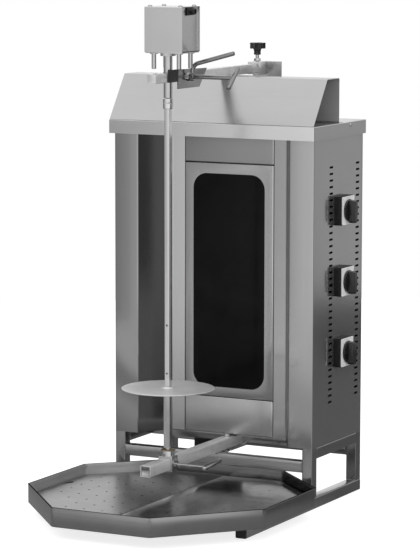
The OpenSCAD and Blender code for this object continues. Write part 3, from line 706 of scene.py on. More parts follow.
finish = {
    'tubeX': steel('tubeSteelAcross', 0.5, 'x', 0.2, grainTone=0.06),
    'tubeY': steel('tubeSteelDeep', 0.5, 'y', 0.2, grainTone=0.06),
    'tubeZ': steel('tubeSteelUpright', 0.5, 'z', 0.2, grainTone=0.06),
    # the lower arm is the frame's tube steel with a much lighter tone, painted light
    'lowerTubeLit': steel('lowerTubeLitSteel', 0.85, 'y', 0.34, grainTone=0.07, marks=0.1, marksScale=26,
                     metal=0.5),
    # the two side sheets are one steel: the left gets a darker tone, painted shade, and the right
    # a lighter one, painted light
    'casingLeft': steel('casingSteelLeftShaded', 0.36, 'z', 0.09, spread=0.02, grainTone=0.03,
                        marks=0.02),
    'casingRight': steel('casingSteelRightLit', 0.47, 'z', 0.16, spread=0.02, metal=0.9,
                         grainTone=0.03, marks=0.02),
    # the three front panels are one steel: the top one gets a darker tone, painted shade under the
    # cover's lip, and the low one a lighter tone, painted light
    'panel': steel('panelSteel', 0.45, 'z', 0.22, grainTone=0.03, marks=0.03),
    'topPanelShaded': steel('topPanelShadedSteel', 0.38, 'z', 0.34, grainTone=0.03, marks=0.03),
    'lowPanelLit': steel('lowPanelLitSteel', 0.54, 'z', 0.24, grainTone=0.04, marks=0.05),
    'cover': steel('coverSteel', 0.72, 'x', 0.24, grainTone=0.03, marks=0.03),
    'hood': steel('hoodSteel', 0.53, 'x', 0.24, grainTone=0.03, marks=0.03),
    # a darker tone of the cover steel for its underside, painted shade under the lid
    'coverUnderShade': steel('coverUnderShadeSteel', 0.5, 'x', 0.34, grainTone=0.03, marks=0.03),
    'hoodInside': steel('hoodInsideSteel', 0.42, 'x', 0.5, marks=0.08, metal=0.25),
    # a lighter tone of the casing steel for the inner strips, painted light
    'innerStripLit': steel('innerStripLitSteel', 0.55, 'z', 0.2, grainTone=0.03, marks=0.03),
    # darker tones of the casing steel for the slanted recess walls, painted shade in the recess
    'recessRight': steel('recessRightSteel', 0.42, 'z', 0.3, grainTone=0.03, marks=0.03),
    # a pale tone for the bent edges, a painted highlight
    'edgeHighlight': steel('edgeHighlightSteel', 0.85, 'z', 0.2, grainTone=0.02),
    'recess': steel('recessSteel', 0.22, 'z', 0.12, grainTone=0.03, marks=0.03),
    'tray': steel('traySteel', 0.3, 'x', 0.18, marks=0.35, marksScale=13, wave=0.5,
                  scratches=0.4),
    'trayLeft': steel('trayLeftSteel', 0.3, 'x', 0.32, marks=0.2, marksScale=13, wave=0.3,
                      scratches=0.4),
    'trayWall': steel('trayWallSteel', 0.32, 'x', 0.16, marks=0.08, marksScale=9, wave=0.12),
    # a paler tone of the tray steel for inner walls, painted light
    'trayInsideLit': steel('trayInsideLitSteel', 0.7, 'x', 0.5, marks=0.1, marksScale=12, metal=0.6),
    'spit': steel('spitSteel', 0.72, 'z', 0.2, grainTone=0.05),
    'disc': steel('discSteel', 0.92, 'x', 0.56, marks=0.06, marksScale=14, scratches=0.2,
                  metal=0.85),
    'arm': steel('armSteel', 0.78, 'y', 0.24, marks=0.12, marksScale=24, metal=0.75),
    'carriage': steel('carriageSteel', 0.58, 'y', 0.2, marks=0.14, marksScale=30),
    'plate': steel('plateSteel', 0.35, 'y', 0.2, marks=0.14, marksScale=24),
    # a darker tone of the rod steel for the handles, lever and drive shaft, painted shade
    'bar': steel('barShadedSteel', 0.3, 'y', 0.16, grainTone=0.04),
    'rod': steel('rodSteel', 0.55, 'round', 0.14, grainTone=0.04, marks=0.04, marksScale=40),
    'motor': steel('motorSteel', 0.68, 'z', 0.24, grainTone=0.03, marks=0.03, marksScale=12),
    'screw': steel('screwSteel', 0.6, 'round', 0.2, grainTone=0.06),
    'inner': steel('innerSteel', 0.2, 'x', 0.4, marks=0.15, marksScale=15),
    'weld': steel('weldSteel', 0.3, 'round', 0.34, grainTone=0.2, marks=0.3, marksScale=160),
    'glass': ceramicGlass(),
    'cap': plastic('capPlastic', 0.022, 0.07, 0.5),
    'switchBlack': plastic('switchBlack', 0.012, 0.035, 0.42, shine=0.25),
    'switchFace': plastic('switchFace', 0.9, 0.84, 0.35, amount=0.3, pebble=1500.0, bump=0.03),
    'knob': plastic('knobBlack', 0.009, 0.03, 0.24, pebble=1400.0, bump=0.05, shine=0.6),
    'black': plastic('blackPlastic', 0.014, 0.045, 0.45),
    'white': plastic('markWhite', 0.7, 0.6, 0.4, bump=0.03),
    'bronze': turnedBronze(),
    'board': mottled('pressedBoard', (160.0, 6.0, 0.5),
                     ((0.5, 0.46, 0.38, 1), (0.68, 0.65, 0.58, 1)), (0.85, 1.0), bump=0.5),
    'ribbon': mottled('ribbonAlloy', (70.0, 4.0, 0.8),
                      ((0.09, 0.05, 0.035, 1), (0.2, 0.18, 0.17, 1)), (0.5, 0.75), Metallic=0.8),
    'porcelain': mottled('glazedPorcelain', (50.0, 3.0, 0.0),
                         ((0.66, 0.63, 0.55, 1), (0.76, 0.74, 0.68, 1)), (0.16, 0.3)),
    'paint': plastic('motorPaint', 0.04, 0.09, 0.38, pebble=600.0),
}
print('materials are made:', len(finish))


# ---- stand ----

stand = {
    'corner': 2.6 * mm, 'wall': 1.5 * mm, 'mouth': 14 * mm,
    'bead': 1.5, 'ripple': 1.7, 'beadInset': 3 * mm,
    'flange': 3 * mm, 'plugEdge': 1.1 * mm, 'stemInset': 1.6 * mm,
}


def squareTube(name, low, high, axis, open=False):
    tube = block(name, low, high)
    work(tube, 'EDGE', runs(axis), rounded(stand['corner'], 4))
    if open:
        for way in (axis, -axis):
            work(tube, 'FACE', faces(way), drawnIn(stand['wall']), pulled(way * -stand['mouth']))
    return softened(tube, 0.25 * mm, 1, 60)


def weldBead(name, start, end):
    # a row of overlapping ripples, like a hand-laid seam
    start, end = Vector(start), Vector(end)
    length, r = (end - start).length / mm, stand['bead']
    count = 4 * max(4, round(length / stand['ripple']))
    ripples = [(r * (0.72 + 0.28 * abs(math.sin(math.pi * k / 4))), length * k / count)
               for k in range(1, count)]
    return turned(name, [(0, 0)] + ripples + [(0, length)], start, end - start, 8)


def roundedPlug(name, low, high):
    # the flange of an end plug shows, with a soft edge; its stem sits in the tube
    outer, flange = (low.y, stand['flange']) if low.y < 0 else (high.y, -stand['flange'])
    joint = outer + flange
    plug = block(name, (low.x, min(outer, joint), low.z), (high.x, max(outer, joint), high.z))
    work(plug, 'EDGE', runs(back), rounded(stand['corner'], 4))
    work(plug, 'EDGE', lambda e: all(abs(v.co.y - outer) < 1e-6 for v in e.verts),
         rounded(stand['plugEdge'], 3))
    inset = Vector((stand['stemInset'], 0, stand['stemInset']))
    stemLow, stemHigh = low + inset, high - inset
    if outer == low.y:
        stemLow.y = joint
    else:
        stemHigh.y = joint
    return joined(name, [plug, block(name + 'Stem', stemLow, stemHigh)])


def buildStand():
    for node, axis, look, open, names in (
            ("skids", back, 'tubeY', True, ('skidLeft', 'skidRight')),
            ("frame_legs", up, 'tubeZ', False,
             ('legLeftFront', 'legLeftRear', 'legRightFront', 'legRightRear')),
            ("side_rails", back, 'tubeY', False, ('sideRailLeft', 'sideRailRight'))):
        for name, (low, high) in zip(names, solidsOf(node)):
            fitted(squareTube(name, low, high, axis, open), look, 'frame', 'tube_steel', node)
    for node, name in (("front_rail", 'frontRail'), ("rear_rail", 'rearRail')):
        fitted(squareTube(name, *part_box(node), across), 'tubeX', 'frame', 'tube_steel', node)
    dressed("mid_rail", 'midRail', 0.8, 'tubeX', 'frame', 'tube_steel')
    caps = [roundedPlug('skidCap%d' % k, low, high)
            for k, (low, high) in enumerate(solidsOf("skid_caps"))]
    fitted(joined('skidCaps', caps), 'cap', 'frame', 'cap_plastic', "skid_caps")


def buildWelds():
    # beads round the foot of each leg and round the ends of the front and rear rails
    inset = stand['beadInset']
    beads = []

    def lay(start, end):
        beads.append(weldBead('bead%d' % len(beads), start, end))

    for low, high in solidsOf("frame_legs"):
        inner = high.x if low.x < 0 else low.x
        for y in (low.y, high.y):
            lay((low.x + inset, y, low.z), (high.x - inset, y, low.z))
        for near, far in (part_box("front_rail"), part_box("rear_rail")):
            if near.y < low.y + 1 * mm < far.y:
                for z in (near.z, far.z):
                    lay((inner, near.y + inset, z), (inner, far.y - inset, z))
                for y in (near.y, far.y):
                    lay((inner, y, near.z + inset), (inner, y, far.z - inset))
    fitted(joined('standWelds', beads), 'weld', 'frame', 'tube_steel')


buildStand()
buildWelds()
print('stand is built')


# ---- casing ----

casing = {
    'sheet': 1.2 * mm, 'bend': 2.4 * mm, 'flange': 20 * mm,
    'slot': (18 * mm, 4.8 * mm), 'slotCorner': 1.6 * mm, 'slotPitch': 14.4 * mm,
    'slotRows': 37, 'slotLow': 226 * mm, 'slotColumns': (90 * mm, 229 * mm),
    'recessWidth': 374 * mm, 'recessBack': 284 * mm, 'recessDepth': 81 * mm,
    'returnDepth': 18 * mm, 'panEdge': 2.3 * mm,
    'windowEdge': 9 * mm, 'windowCorner': 33 * mm, 'glassEdge': 0.6 * mm,
    'lidEdge': 1.8 * mm, 'airSlot': (97 * mm, 114 * mm),
    'hoodSlope': 55.5 * mm, 'hoodFoot': 18 * mm, 'hoodBend': 2.6 * mm,
    'screwHeights': (170 * mm, 330 * mm, 490 * mm, 650 * mm, 800 * mm), 'screwInset': 10 * mm,
    'screwSink': [(0, -0.02), (3.3, -0.02), (1.5, 1.1), (1.5, 4), (0, 4)],
    # each head: radius and height in mm
    'lipScrew': (3.6, 2.0), 'backScrew': (3.2, 1.1), 'motorScrew': (4.6, 3.4),
}
casingLow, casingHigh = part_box("casing_right")
frontY = casingLow.y


def sideSheet(name, side):
    low, high = casingLow, casingHigh
    deep = high.y - frontY
    plan = [(low.x, casing['recessDepth'] + casing['returnDepth']),
            (low.x, casing['recessDepth']),
            (casing['recessBack'] / 2, casing['recessDepth']),
            (casing['recessWidth'] / 2, 0), (high.x, 0),
            (high.x, deep), (high.x - casing['flange'], deep)]
    path = [(side * x, frontY + y, low.z) for x, y in plan]
    return foldedSheet(name, path, up * (high.z - low.z), casing['sheet'], casing['bend'], -side)


def ventCutter():
    long, tall = casing['slot']
    near, far = casing['slotColumns']
    x, y, z = casingHigh.x, frontY + near, casing['slotLow']
    slot = block('ventCutter', (x - 6 * mm, y - long / 2, z - tall / 2),
                 (x + 6 * mm, y + long / 2, z + tall / 2))
    work(slot, 'EDGE', runs(across), rounded(casing['slotCorner'], 3))
    for count, step in ((casing['slotRows'], (0, 0, casing['slotPitch'])),
                        (2, (0, far - near, 0))):
        byModifier(slot, 'ARRAY', count=count, use_relative_offset=False,
                   use_constant_offset=True, constant_offset_displace=step)
    return slot


def screwHoles(sheet, side):
    # countersunk holes for the back screws in one sheet's rear flange
    for z in casing['screwHeights']:
        seat = (side * (casingHigh.x - casing['screwInset']), casingHigh.y, z)
        cut(sheet, turned('screwSink', casing['screwSink'], seat, -back, 24))


def buildCasing():
    inner = frontY + casing['recessDepth'] - 1 * mm
    for side, name, recess in ((-1, 'Left', 'recess'), (1, 'Right', 'recessRight')):
        sheet = sideSheet('casingSheet' + name, side)
        if side > 0:
            cut(sheet, ventCutter())
        screwHoles(sheet, side)
        # each side sheet takes its own tone of one steel: painted shade on the left, painted light
        # on the right
        fitted(sheet, 'casing' + name, 'frame', 'casing_steel', "casing_" + name.lower())
        # the inner strips at the back of the recess get a lighter tone of the same steel, painted
        # light
        refaced(sheet, 'innerStripLit', lambda f: f.normal.y < -0.9 and f.center.y > inner)
        # the slanted walls of the recess get a darker tone of the same steel, painted shade
        refaced(sheet, recess, lambda f: f.normal.x * side < -0.7 and -0.7 < f.normal.y < -0.3)
    dressed("back_panel", 'backPanel', 0.4, 'casingRight', 'frame', 'casing_steel')
    dressed("bottom_plate", 'bottomPlate', 0.4, 'inner', 'frame', 'casing_steel')


def openBox(name, node, open, edge):
    # a node's box in sheet metal, without the open faces and with its edges bent round
    piece = block(name, *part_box(node))
    work(piece, 'FACE', open, removed('FACE'))
    work(piece, 'EDGE', lambda e: len(e.link_faces) == 2, rounded(edge, 4))
    byModifier(piece, 'SOLIDIFY', thickness=casing['sheet'], offset=-1, use_even_offset=True)
    return outward(piece)


def frontPan(name, node, look, window=None):
    pan = openBox(name, node, faces(back), casing['panEdge'])
    if window:
        cut(pan, window)
    fitted(pan, look, 'frame', 'casing_steel', node)
    # the bent edges facing front and right get a pale tone, a painted highlight
    refaced(pan, 'edgeHighlight', lambda f: 0.2 < f.normal.x < 0.97 and f.normal.y < 0)


def windowBlank(name, grow, y0, y1):
    # rounded block of the window's opening, larger by grow
    low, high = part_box("ceramic_glass")
    edge = casing['windowEdge'] - grow
    piece = block(name, (low.x + edge, y0, low.z + edge), (high.x - edge, y1, high.z - edge))
    return work(piece, 'EDGE', runs(back), rounded(casing['windowCorner'] + grow, 14))


def buildFront():
    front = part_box("window_panel")[0].y
    # the top panel's darker tone is painted shade under the cover's lip; the lower panel's lighter
    # tone is painted light
    frontPan('upperPanel', "upper_panel", 'topPanelShaded')
    frontPan('lowerPanel', "lower_panel", 'lowPanelLit')
    frontPan('windowPanel', "window_panel", 'panel',
             windowBlank('windowCutter', 0, front - 5 * mm, front + 8 * mm))
    low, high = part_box("ceramic_glass")
    glass = windowBlank('windowGlass', casing['windowEdge'], low.y, high.y)
    softened(glass, casing['glassEdge'], 2, 50)
    fitted(glass, 'glass', 'frame', 'ceramic_glass', "ceramic_glass")


def buildCover():
    # the lid over the casing: top, front lip and side lips, open along the back
    lid = openBox('topCover', "top_cover", lambda f: f.normal.z < -0.99 or f.normal.y > 0.99,
                  casing['lidEdge'])
    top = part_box("top_cover")[1].z
    near, far = casing['airSlot']
    cut(lid, block('airSlot', (-0.2, frontY + near, top - 5 * mm),
                   (0.2, frontY + far, top + 5 * mm)))
    fitted(lid, 'cover', 'frame', 'cover_steel', "top_cover")
    # the underside gets a darker tone, painted shade under the lid, and the faces turned to the
    # right get the hood's darker tone, painted shade on that side
    refaced(lid, 'coverUnderShade', lambda f: f.normal.z < -0.5)
    refaced(lid, 'hood', faces(across, 0.9))


def buildHood():
    low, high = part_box("hood")
    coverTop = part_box("top_cover")[1].z
    foot = coverTop + casing['sheet']
    flatEnd = high.y - casing['hoodFoot']
    path = [(low.x, low.y + 0.1 * mm, coverTop + 0.8 * mm),
            (low.x, frontY + casing['hoodSlope'], high.z),
            (low.x, flatEnd, high.z), (low.x, flatEnd, foot), (low.x, high.y, foot)]
    hood = foldedSheet('hoodSheet', path, across * (high.x - low.x), casing['sheet'],
                       casing['hoodBend'], 1)
    fitted(hood, 'hood', 'frame', 'cover_steel', "hood")
    refaced(hood, 'hoodInside', lambda f: f.normal.z < -0.3 or abs(f.normal.y) > 0.99
            and f.center.y < flatEnd - 0.2 * mm)


def crossCut(head, wide, thin, low, high):
    for x, y in ((wide, thin), (thin, wide)):
        cut(head, block('crossCut', (-x * mm, -y * mm, low * mm), (x * mm, y * mm, high * mm)))
    return head


def screwHead(name, r, h):
    # pan head seen from +Z with a cross recess, its seat on the origin
    head = turned(name, [(0, 0), (r, 0), (r, h * 0.35), (r * 0.86, h * 0.8), (r * 0.55, h),
                         (0, h)], (0, 0, 0), up, 24)
    return crossCut(head, r * 0.55, r * 0.12, h * 0.45, h * 2)


def flushHead(name, r, h):
    # countersunk head with its face on the origin, facing +Z, with a cross recess
    head = turned(name, [(0, -h), (r * 0.45, -h), (r, -0.1), (r - 0.1, 0), (0, 0)],
                  (0, 0, 0), up, 28)
    return crossCut(head, r * 0.55, r * 0.11, -h * 0.6, h)


def buildScrews():
    pan = screwHead('lipScrewModel', *casing['lipScrew'])
    flush = flushHead('backScrewModel', *casing['backScrew'])
    parts = []
    for low, high in solidsOf("casing_screws"):
        seat = (low + high) / 2
        if high.x - low.x > high.y - low.y:
            # in the lip of the cover
            side = 1 if seat.x > 0 else -1
            model, way = pan, across * side
            seat.x = side * (max(abs(low.x), abs(high.x)) - 2 * mm)
        else:
            model, way = flush, back
            seat.y = high.y
        turn = way.to_track_quat('Z', 'Y').to_matrix().to_4x4()
        parts.append(copied(model, 'casingScrew%d' % len(parts), Matrix.Translation(seat) @ turn))
    fitted(joined('casingScrews', parts), 'screw', 'frame', 'screw_steel', "casing_screws")
    motorHead = screwHead('motorScrewModel', *casing['motorScrew'])
    parts = []
    for low, high in solidsOf("cover_screws"):
        seat = (low + high) / 2
        seat.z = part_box("motor_cover")[1].z
        parts.append(copied(motorHead, 'coverScrew%d' % len(parts), Matrix.Translation(seat)))
    fitted(joined('coverScrews', parts), 'screw', 'motor_unit', 'screw_steel', "cover_screws")
    for model in (pan, flush, motorHead):
        bpy.data.objects.remove(model)


buildCasing()
buildFront()
buildCover()
buildHood()
buildScrews()
print('casing is built')


# ---- switches ----

switch = {
    'corner': 3.5 * mm, 'rim': 0.9 * mm, 'step': 0.6 * mm, 'edge': 0.5 * mm,
    'plateCorner': 2.4 * mm, 'plateRim': 2.2 * mm, 'plateStep': 0.5 * mm,
    'tick': (0.1 * mm, 0.35 * mm, 1.0 * mm), 'tickReach': 26 * mm, 'tickAngles': (0, 60, 120),
    'skirt': [(0, 0), (24, 0), (24.5, 0.6), (24.5, 2.6), (23.3, 3.8), (21.5, 4), (0, 4)],
    'skirtGap': 0.4 * mm, 'skirtHeight': 4 * mm, 'shaft': 3 * mm,
    'gripWidth': 18 * mm, 'gripLow': 28 * mm, 'gripHigh': 23 * mm, 'gripCorner': 5 * mm,
    'gripSlope': 2 * mm, 'gripBelly': 3.5 * mm, 'gripEdge': 1.4 * mm,
    'markWidth': 1.6 * mm, 'markFrom': 2 * mm, 'markTo': 10 * mm,
}


def buildSwitches():
    for k, (low, high) in enumerate(solidsOf("switch_bases")):
        base = block('switchBase%d' % k, low, high)
        work(base, 'EDGE', runs(across), rounded(switch['corner'], 4))
        work(base, 'FACE', faces(across), drawnIn(switch['rim']), moved(across * -switch['step']))
        softened(base, switch['edge'])
        fitted(base, 'switchBlack', 'frame', 'switch_black', "switch_bases")
    for k, (low, high) in enumerate(solidsOf("switch_plates")):
        plate = block('switchPlate%d' % k, low, high)
        work(plate, 'EDGE', runs(across), rounded(switch['plateCorner'], 4))
        work(plate, 'FACE', faces(across), drawnIn(switch['plateRim']), drawnIn(0.5 * mm),
             moved(across * -switch['plateStep']))
        softened(plate, 0.25 * mm)
        fitted(plate, 'switchFace', 'frame', 'switch_face', "switch_plates")
        dialTicks(k, (low + high) / 2, high.x - 0.45 * mm)


def dialTicks(k, centre, x):
    half = Vector(switch['tick'])
    ticks = []
    for angle in switch['tickAngles']:
        turn = Matrix.Rotation(-math.radians(angle), 4, 'X')
        tick = block('tick%d' % angle, -half, half)
        tick.data.transform(Matrix.Translation((x, centre.y, centre.z)) @ turn
                            @ Matrix.Translation(up * switch['tickReach']))
        ticks.append(tick)
    fitted(joined('dialTicks%d' % k, ticks), 'switchBlack', 'frame', 'switch_black')


def buildKnob(node, name):
    low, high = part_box(node)
    y, z = (low.y + high.y) / 2, low.z + switch['gripLow']
    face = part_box("switch_plates")[1].x + switch['skirtGap']
    skirtTop = face + switch['skirtHeight']
    skirt = turned(name + 'Skirt', switch['skirt'], (face, y, z), across, 56)
    # the grip is a bar with swelling sides
    half, top = switch['gripWidth'] / 2, z + switch['gripHigh']
    grip = block(name + 'Grip', (skirtTop - 0.5 * mm, y - half, low.z), (high.x, y + half, top))
    work(grip, 'VERT', lambda v: v.co.x > high.x - 1e-6 and v.co.z > top - 1e-6,
         moved(up * -switch['gripSlope']))
    work(grip, 'EDGE', lambda e: runs(across)(e) and e.verts[0].co.z < z,
         rounded(switch['gripCorner'], 5))
    work(grip, 'FACE', faces(across), shrunk(1, 0.72, 0.97, (high.x, y, z)))
    work(grip, 'FACE', everything, sliced((0, 0, z), up))
    for side in (-1, 1):
        work(grip, 'VERT', lambda v: abs(v.co.z - z) < 1e-5 and (v.co.y - y) * side > 0
             and v.co.x > skirtTop + 2 * mm, moved(back * side * switch['gripBelly']))
    softened(grip, switch['gripEdge'], 4, 30)
    mark = block(name + 'Mark',
                 (high.x - 1.0 * mm, y - switch['markWidth'] / 2, z + switch['markFrom']),
                 (high.x - 0.05 * mm, y + switch['markWidth'] / 2, z + switch['markTo']))
    softened(mark, 0.2 * mm)
    shaft = rod(name + 'Shaft', (low.x, y, z), (face + 1 * mm, y, z), switch['shaft'], 24)
    fitted(joined(name + 'Whole', [skirt, grip, shaft]), 'knob', node, 'knob_black', node)
    fitted(mark, 'white', node, 'knob_black')


buildSwitches()
for spot in ('top', 'middle', 'bottom'):
    buildKnob("knob_" + spot, 'knob' + spot.title())
print('switches are built')


# ---- terminal box under the casing ----

gland = {
    'reach': 22 * mm, 'bore': 5 * mm,
    # each nut: place behind the box's rear wall, radius, height
    'nuts': ((0, 11.9 * mm, 7 * mm), (-6 * mm, 10.9 * mm, 4 * mm)),
    'dome': [(5, 0), (10.4, 0), (10.4, 9), (9.4, 12.5), (7.2, 15), (5, 15), (5, 0)],
    'stem': [(5, 0), (7.8, 0), (7.8, 8), (5, 8), (5, 0)],
}


def buildTerminals():
    dressed("terminal_box", 'terminalBox', 1.2, 'black', 'frame', 'black_plastic')
    low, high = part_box("cable_gland")
    x, z = (low.x + high.x) / 2, (low.z + high.z) / 2
    wall = high.y - gland['reach']
    parts = [turned('glandDome', gland['dome'], (x, wall + 7 * mm, z), back, 36),
             turned('glandStem', gland['stem'], (x, wall - 8 * mm, z), back, 32)]
    for shift, radius, height in gland['nuts']:
        nut = hexagon('glandNut', (x, wall + shift, z), back, radius, height)
        parts.append(cut(nut, rod('glandBore', (x, wall - 12 * mm, z), (x, high.y + 2 * mm, z),
                                  gland['bore'], 32)))
    fitted(joined('cableGland', parts), 'black', 'frame', 'black_plastic', "cable_gland")


buildTerminals()
print('terminals are built')


# ---- drip tray ----

tray = {
    'front': 232 * mm, 'rear': 288 * mm, 'sideFront': 316 * mm, 'sideRear': 70 * mm,
    'sheet': 1.5 * mm, 'hem': 3.1 * mm, 'hemHeight': 8 * mm, 'hemEdge': 1.3 * mm,
    'corner': 7 * mm, 'bend': 2.5 * mm,
    'gap': 4.5 * mm, 'seam': 5 * mm, 'seamGap': 0.4 * mm, 'seamEdge': 1.2 * mm,
    'border': 26 * mm, 'slope': 5 * mm, 'crease': 1.6 * mm,
    'pitch': 44 * mm, 'hole': 2.6 * mm, 'margin': 47 * mm,
    'gridStart': (-225 * mm, -410 * mm), 'gridSteps': range(-2, 14),
    'fingerHole': (-262 * mm, -181 * mm), 'fingerRadius': 11 * mm,
}
trayLow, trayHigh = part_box("drip_tray")


def trayOutline():
    half = trayHigh.x
    right = [(tray['front'] / 2, trayLow.y), (half, frontY - tray['sideFront']),
             (half, frontY - tray['sideRear']), (tray['rear'] / 2, trayHigh.y)]
    return [Vector(p) for p in right + [(-x, y) for x, y in reversed(right)]]


def insetOutline(points, width):
    # each side of the outline moved inwards, met with its neighbour
    found = []
    for before, here, after in zip(points[-1:] + points[:-1], points, points[1:] + points[:1]):
        one, two = (here - before).normalized(), (after - here).normalized()
        left = Vector((-one.y - two.y, one.x + two.x))
        found.append(here + left * (2 * width / left.length_squared))
    return found


def reachInside(point, points):
    # how far a point lies inside the outline
    least = 1e9
    for here, there in zip(points, points[1:] + points[:1]):
        run, offset = (there - here).normalized(), point - here
        least = min(least, run.x * offset.y - run.y * offset.x)
    return least


def outlineFace(name, points, z):
    piece = traced(name, [Vector((p[0], p[1], z)) for p in points])
    work(piece, 'VERT', everything, lambda: bpy.ops.mesh.edge_face_add())
    return outward(piece)


def isFold(edge, links=2):
    # an edge between a level face and an upright one
    return len(edge.link_faces) == links \
        and abs(edge.link_faces[0].normal.z - edge.link_faces[1].normal.z) > 0.5


def buildTray():
    top, foot = trayHigh.z, trayLow.z
    pan = outlineFace('dripTray', trayOutline(), foot)
    work(pan, 'FACE', everything, pulled(up * (top - foot)))
    outward(pan)
    work(pan, 'FACE', faces(up), drawnIn(tray['hem']), pulled(up * -tray['hemHeight']),
         removed('FACE'))
    work(pan, 'EDGE', runs(up), rounded(tray['corner'], 5))
    work(pan, 'EDGE', lambda e: len(e.link_faces) == 2
         and all(abs(v.co.z - foot) < 1e-6 for v in e.verts), rounded(tray['bend'], 4))
    work(pan, 'EDGE', lambda e: isFold(e) and all(abs(v.co.z - top) < 1e-6 for v in e.verts),
         rounded(tray['hemEdge'], 3))
    byModifier(pan, 'SOLIDIFY', thickness=tray['sheet'], offset=-1, use_even_offset=True)
    outward(pan)
    fitted(pan, 'trayWall', 'tray', 'tray_steel', "drip_tray")
    # the inside faces of the left walls, which face to the right, get a paler tone, painted light
    refaced(pan, 'trayInsideLit', lambda f: f.normal.x > 0.3 and f.center.x < 0
            and abs(f.normal.z) < 0.3)


def halfOutline(side):
    # one half of the tray's inside, cut along the seam
    points = insetOutline(trayOutline(), tray['gap'])
    x = tray['seam'] + side * tray['seamGap']
    found = []
    for here, there in zip(points, points[1:] + points[:1]):
        inside = (here.x - x) * side > 0
        if inside:
            found.append(here)
        if inside != ((there.x - x) * side > 0):
            found.append(here.lerp(there, (x - here.x) / (there.x - here.x)))
    return found


def drainCutter(name, side, low, high):
    outline = trayOutline()
    low, high = low - 3 * mm, high + 3 * mm
    parts = []
    x0, y0 = tray['gridStart']
    model = rod(name, (0, 0, low), (0, 0, high), tray['hole'], 14)
    for i in tray['gridSteps']:
        for j in tray['gridSteps']:
            spot = Vector((x0 + i * tray['pitch'], frontY + y0 + j * tray['pitch']))
            if reachInside(spot, outline) > tray['margin'] and (spot.x - tray['seam']) * side > 0:
                parts.append(copied(model, name + str(len(parts)),
                                    Matrix.Translation((spot.x, spot.y, 0))))
    bpy.data.objects.remove(model)
    if side < 0:
        x, y = tray['fingerHole']
        parts.append(rod(name + 'Finger', (x, frontY + y, low), (x, frontY + y, high),
                         tray['fingerRadius'], 32))
    return joined(name, parts)


def buildInsert(side, name, node, look):
    low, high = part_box(node)
    border = high.z - tray['slope']
    plate = outlineFace(name, halfOutline(side), border)
    work(plate, 'FACE', lambda f: f.normal.z < 0, lambda: bpy.ops.mesh.flip_normals())
    # the flat middle stands a little above a border that slopes to the wall
    work(plate, 'FACE', everything, drawnIn(tray['border']), moved(up * tray['slope']))
    x = tray['seam'] + side * tray['seamGap']
    inner = [v for v in plate.data.vertices if abs(v.co.z - high.z) < 1e-6]
    for v in sorted(inner, key=lambda v: abs(v.co.x - x))[:2]:
        # the flat middle reaches the seam, where the two halves meet
        v.co.x = x + side * tray['seamEdge']
    work(plate, 'EDGE', lambda e: len(e.link_faces) == 2, rounded(tray['crease'], 3))
    work(plate, 'EDGE', lambda e: len(e.link_faces) == 1, pulled(up * (low.z - border)))
    work(plate, 'EDGE', isFold, rounded(1.2 * mm, 3))
    byModifier(plate, 'SOLIDIFY', thickness=casing['sheet'], offset=-1, use_even_offset=True)
    outward(plate)
    cut(plate, drainCutter(name + 'Holes', side, border, high.z))
    fitted(plate, look, node, 'tray_steel', node)


buildTray()
buildInsert(-1, 'insertLeft', "insert_left", 'trayLeft')
buildInsert(1, 'insertRight', "insert_right", 'tray')
print('tray is built')


# ---- lower spit support ----

lower = {
    'plugRim': 1.6 * mm, 'plugDish': 0.8 * mm,
    'washer': [(4.2, 0), (7.2, 0), (7.2, 1.2), (4.2, 1.2), (4.2, 0)], 'washerHeight': 1.2 * mm,
    'bolt': 4 * mm, 'nut': 7.2 * mm, 'nutHeight': 6 * mm,
    'cup': (12, 6.05, 4), 'cupFloor': 137.5 * mm,
    'clampInset': 13 * mm, 'bossInset': 14.5 * mm,
    'boss': [(0, 0), (3.6, 0), (4.8, 1.5), (4.8, 7), (0, 7)],
}


def buildLowerArm():
    low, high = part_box("lower_arm")
    # the lower arm's lighter tone is painted light
    fitted(squareTube('lowerArm', low, high, back, True), 'lowerTubeLit', 'frame', 'tube_steel',
           "lower_arm")
    armTop = high.z
    plug = block('armPlug', *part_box("arm_plug"))
    work(plug, 'FACE', faces(-back), drawnIn(lower['plugRim']), pulled(back * lower['plugDish']))
    softened(plug, 0.5 * mm)
    fitted(plug, 'carriage', 'frame', 'cap_plastic', "arm_plug")
    low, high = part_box("arm_bolt")
    x, y = (low.x + high.x) / 2, (low.y + high.y) / 2
    headLow = armTop + lower['washerHeight']
    head = hexagon('boltHead', (x, y, headLow), up, lower['nut'], high.z - headLow)
    washer = turned('boltWasher', lower['washer'], (x, y, armTop), up, 32)
    shank = rod('boltShank', (x, y, low.z), (x, y, armTop + 2 * mm), lower['bolt'], 28)
    softened(shank, 0.5 * mm, 1)
    nut = hexagon('boltNut', (x, y, low.z + 2 * mm), up, lower['nut'], lower['nutHeight'])
    fitted(joined('armBolt', [head, washer, shank, nut]), 'screw', 'frame', 'screw_steel',
           "arm_bolt")


def buildCarriage():
    dressed("carriage", 'carriageSleeve', 0.9, 'carriage', 'carriage', 'arm_steel', 3)
    low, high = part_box("spit_cup")
    r, hole, lip = lower['cup']
    h, floorZ = (high.z - low.z) / mm, (lower['cupFloor'] - low.z) / mm
    cup = turned('spitCup', [
        (0, 0), (r - 0.6, 0), (r, 0.6), (r, h - 3.3), (r + lip - 0.7, h - 2.5), (r + lip, h - 1.8),
        (r + lip, h - 0.7), (r + lip - 0.7, h), (hole + 0.8, h), (hole, h - 0.8), (hole, floorZ),
        (0, floorZ)], ((low.x + high.x) / 2, (low.y + high.y) / 2, low.z), up, 48)
    fitted(cup, 'bronze', 'carriage', 'bronze', "spit_cup")


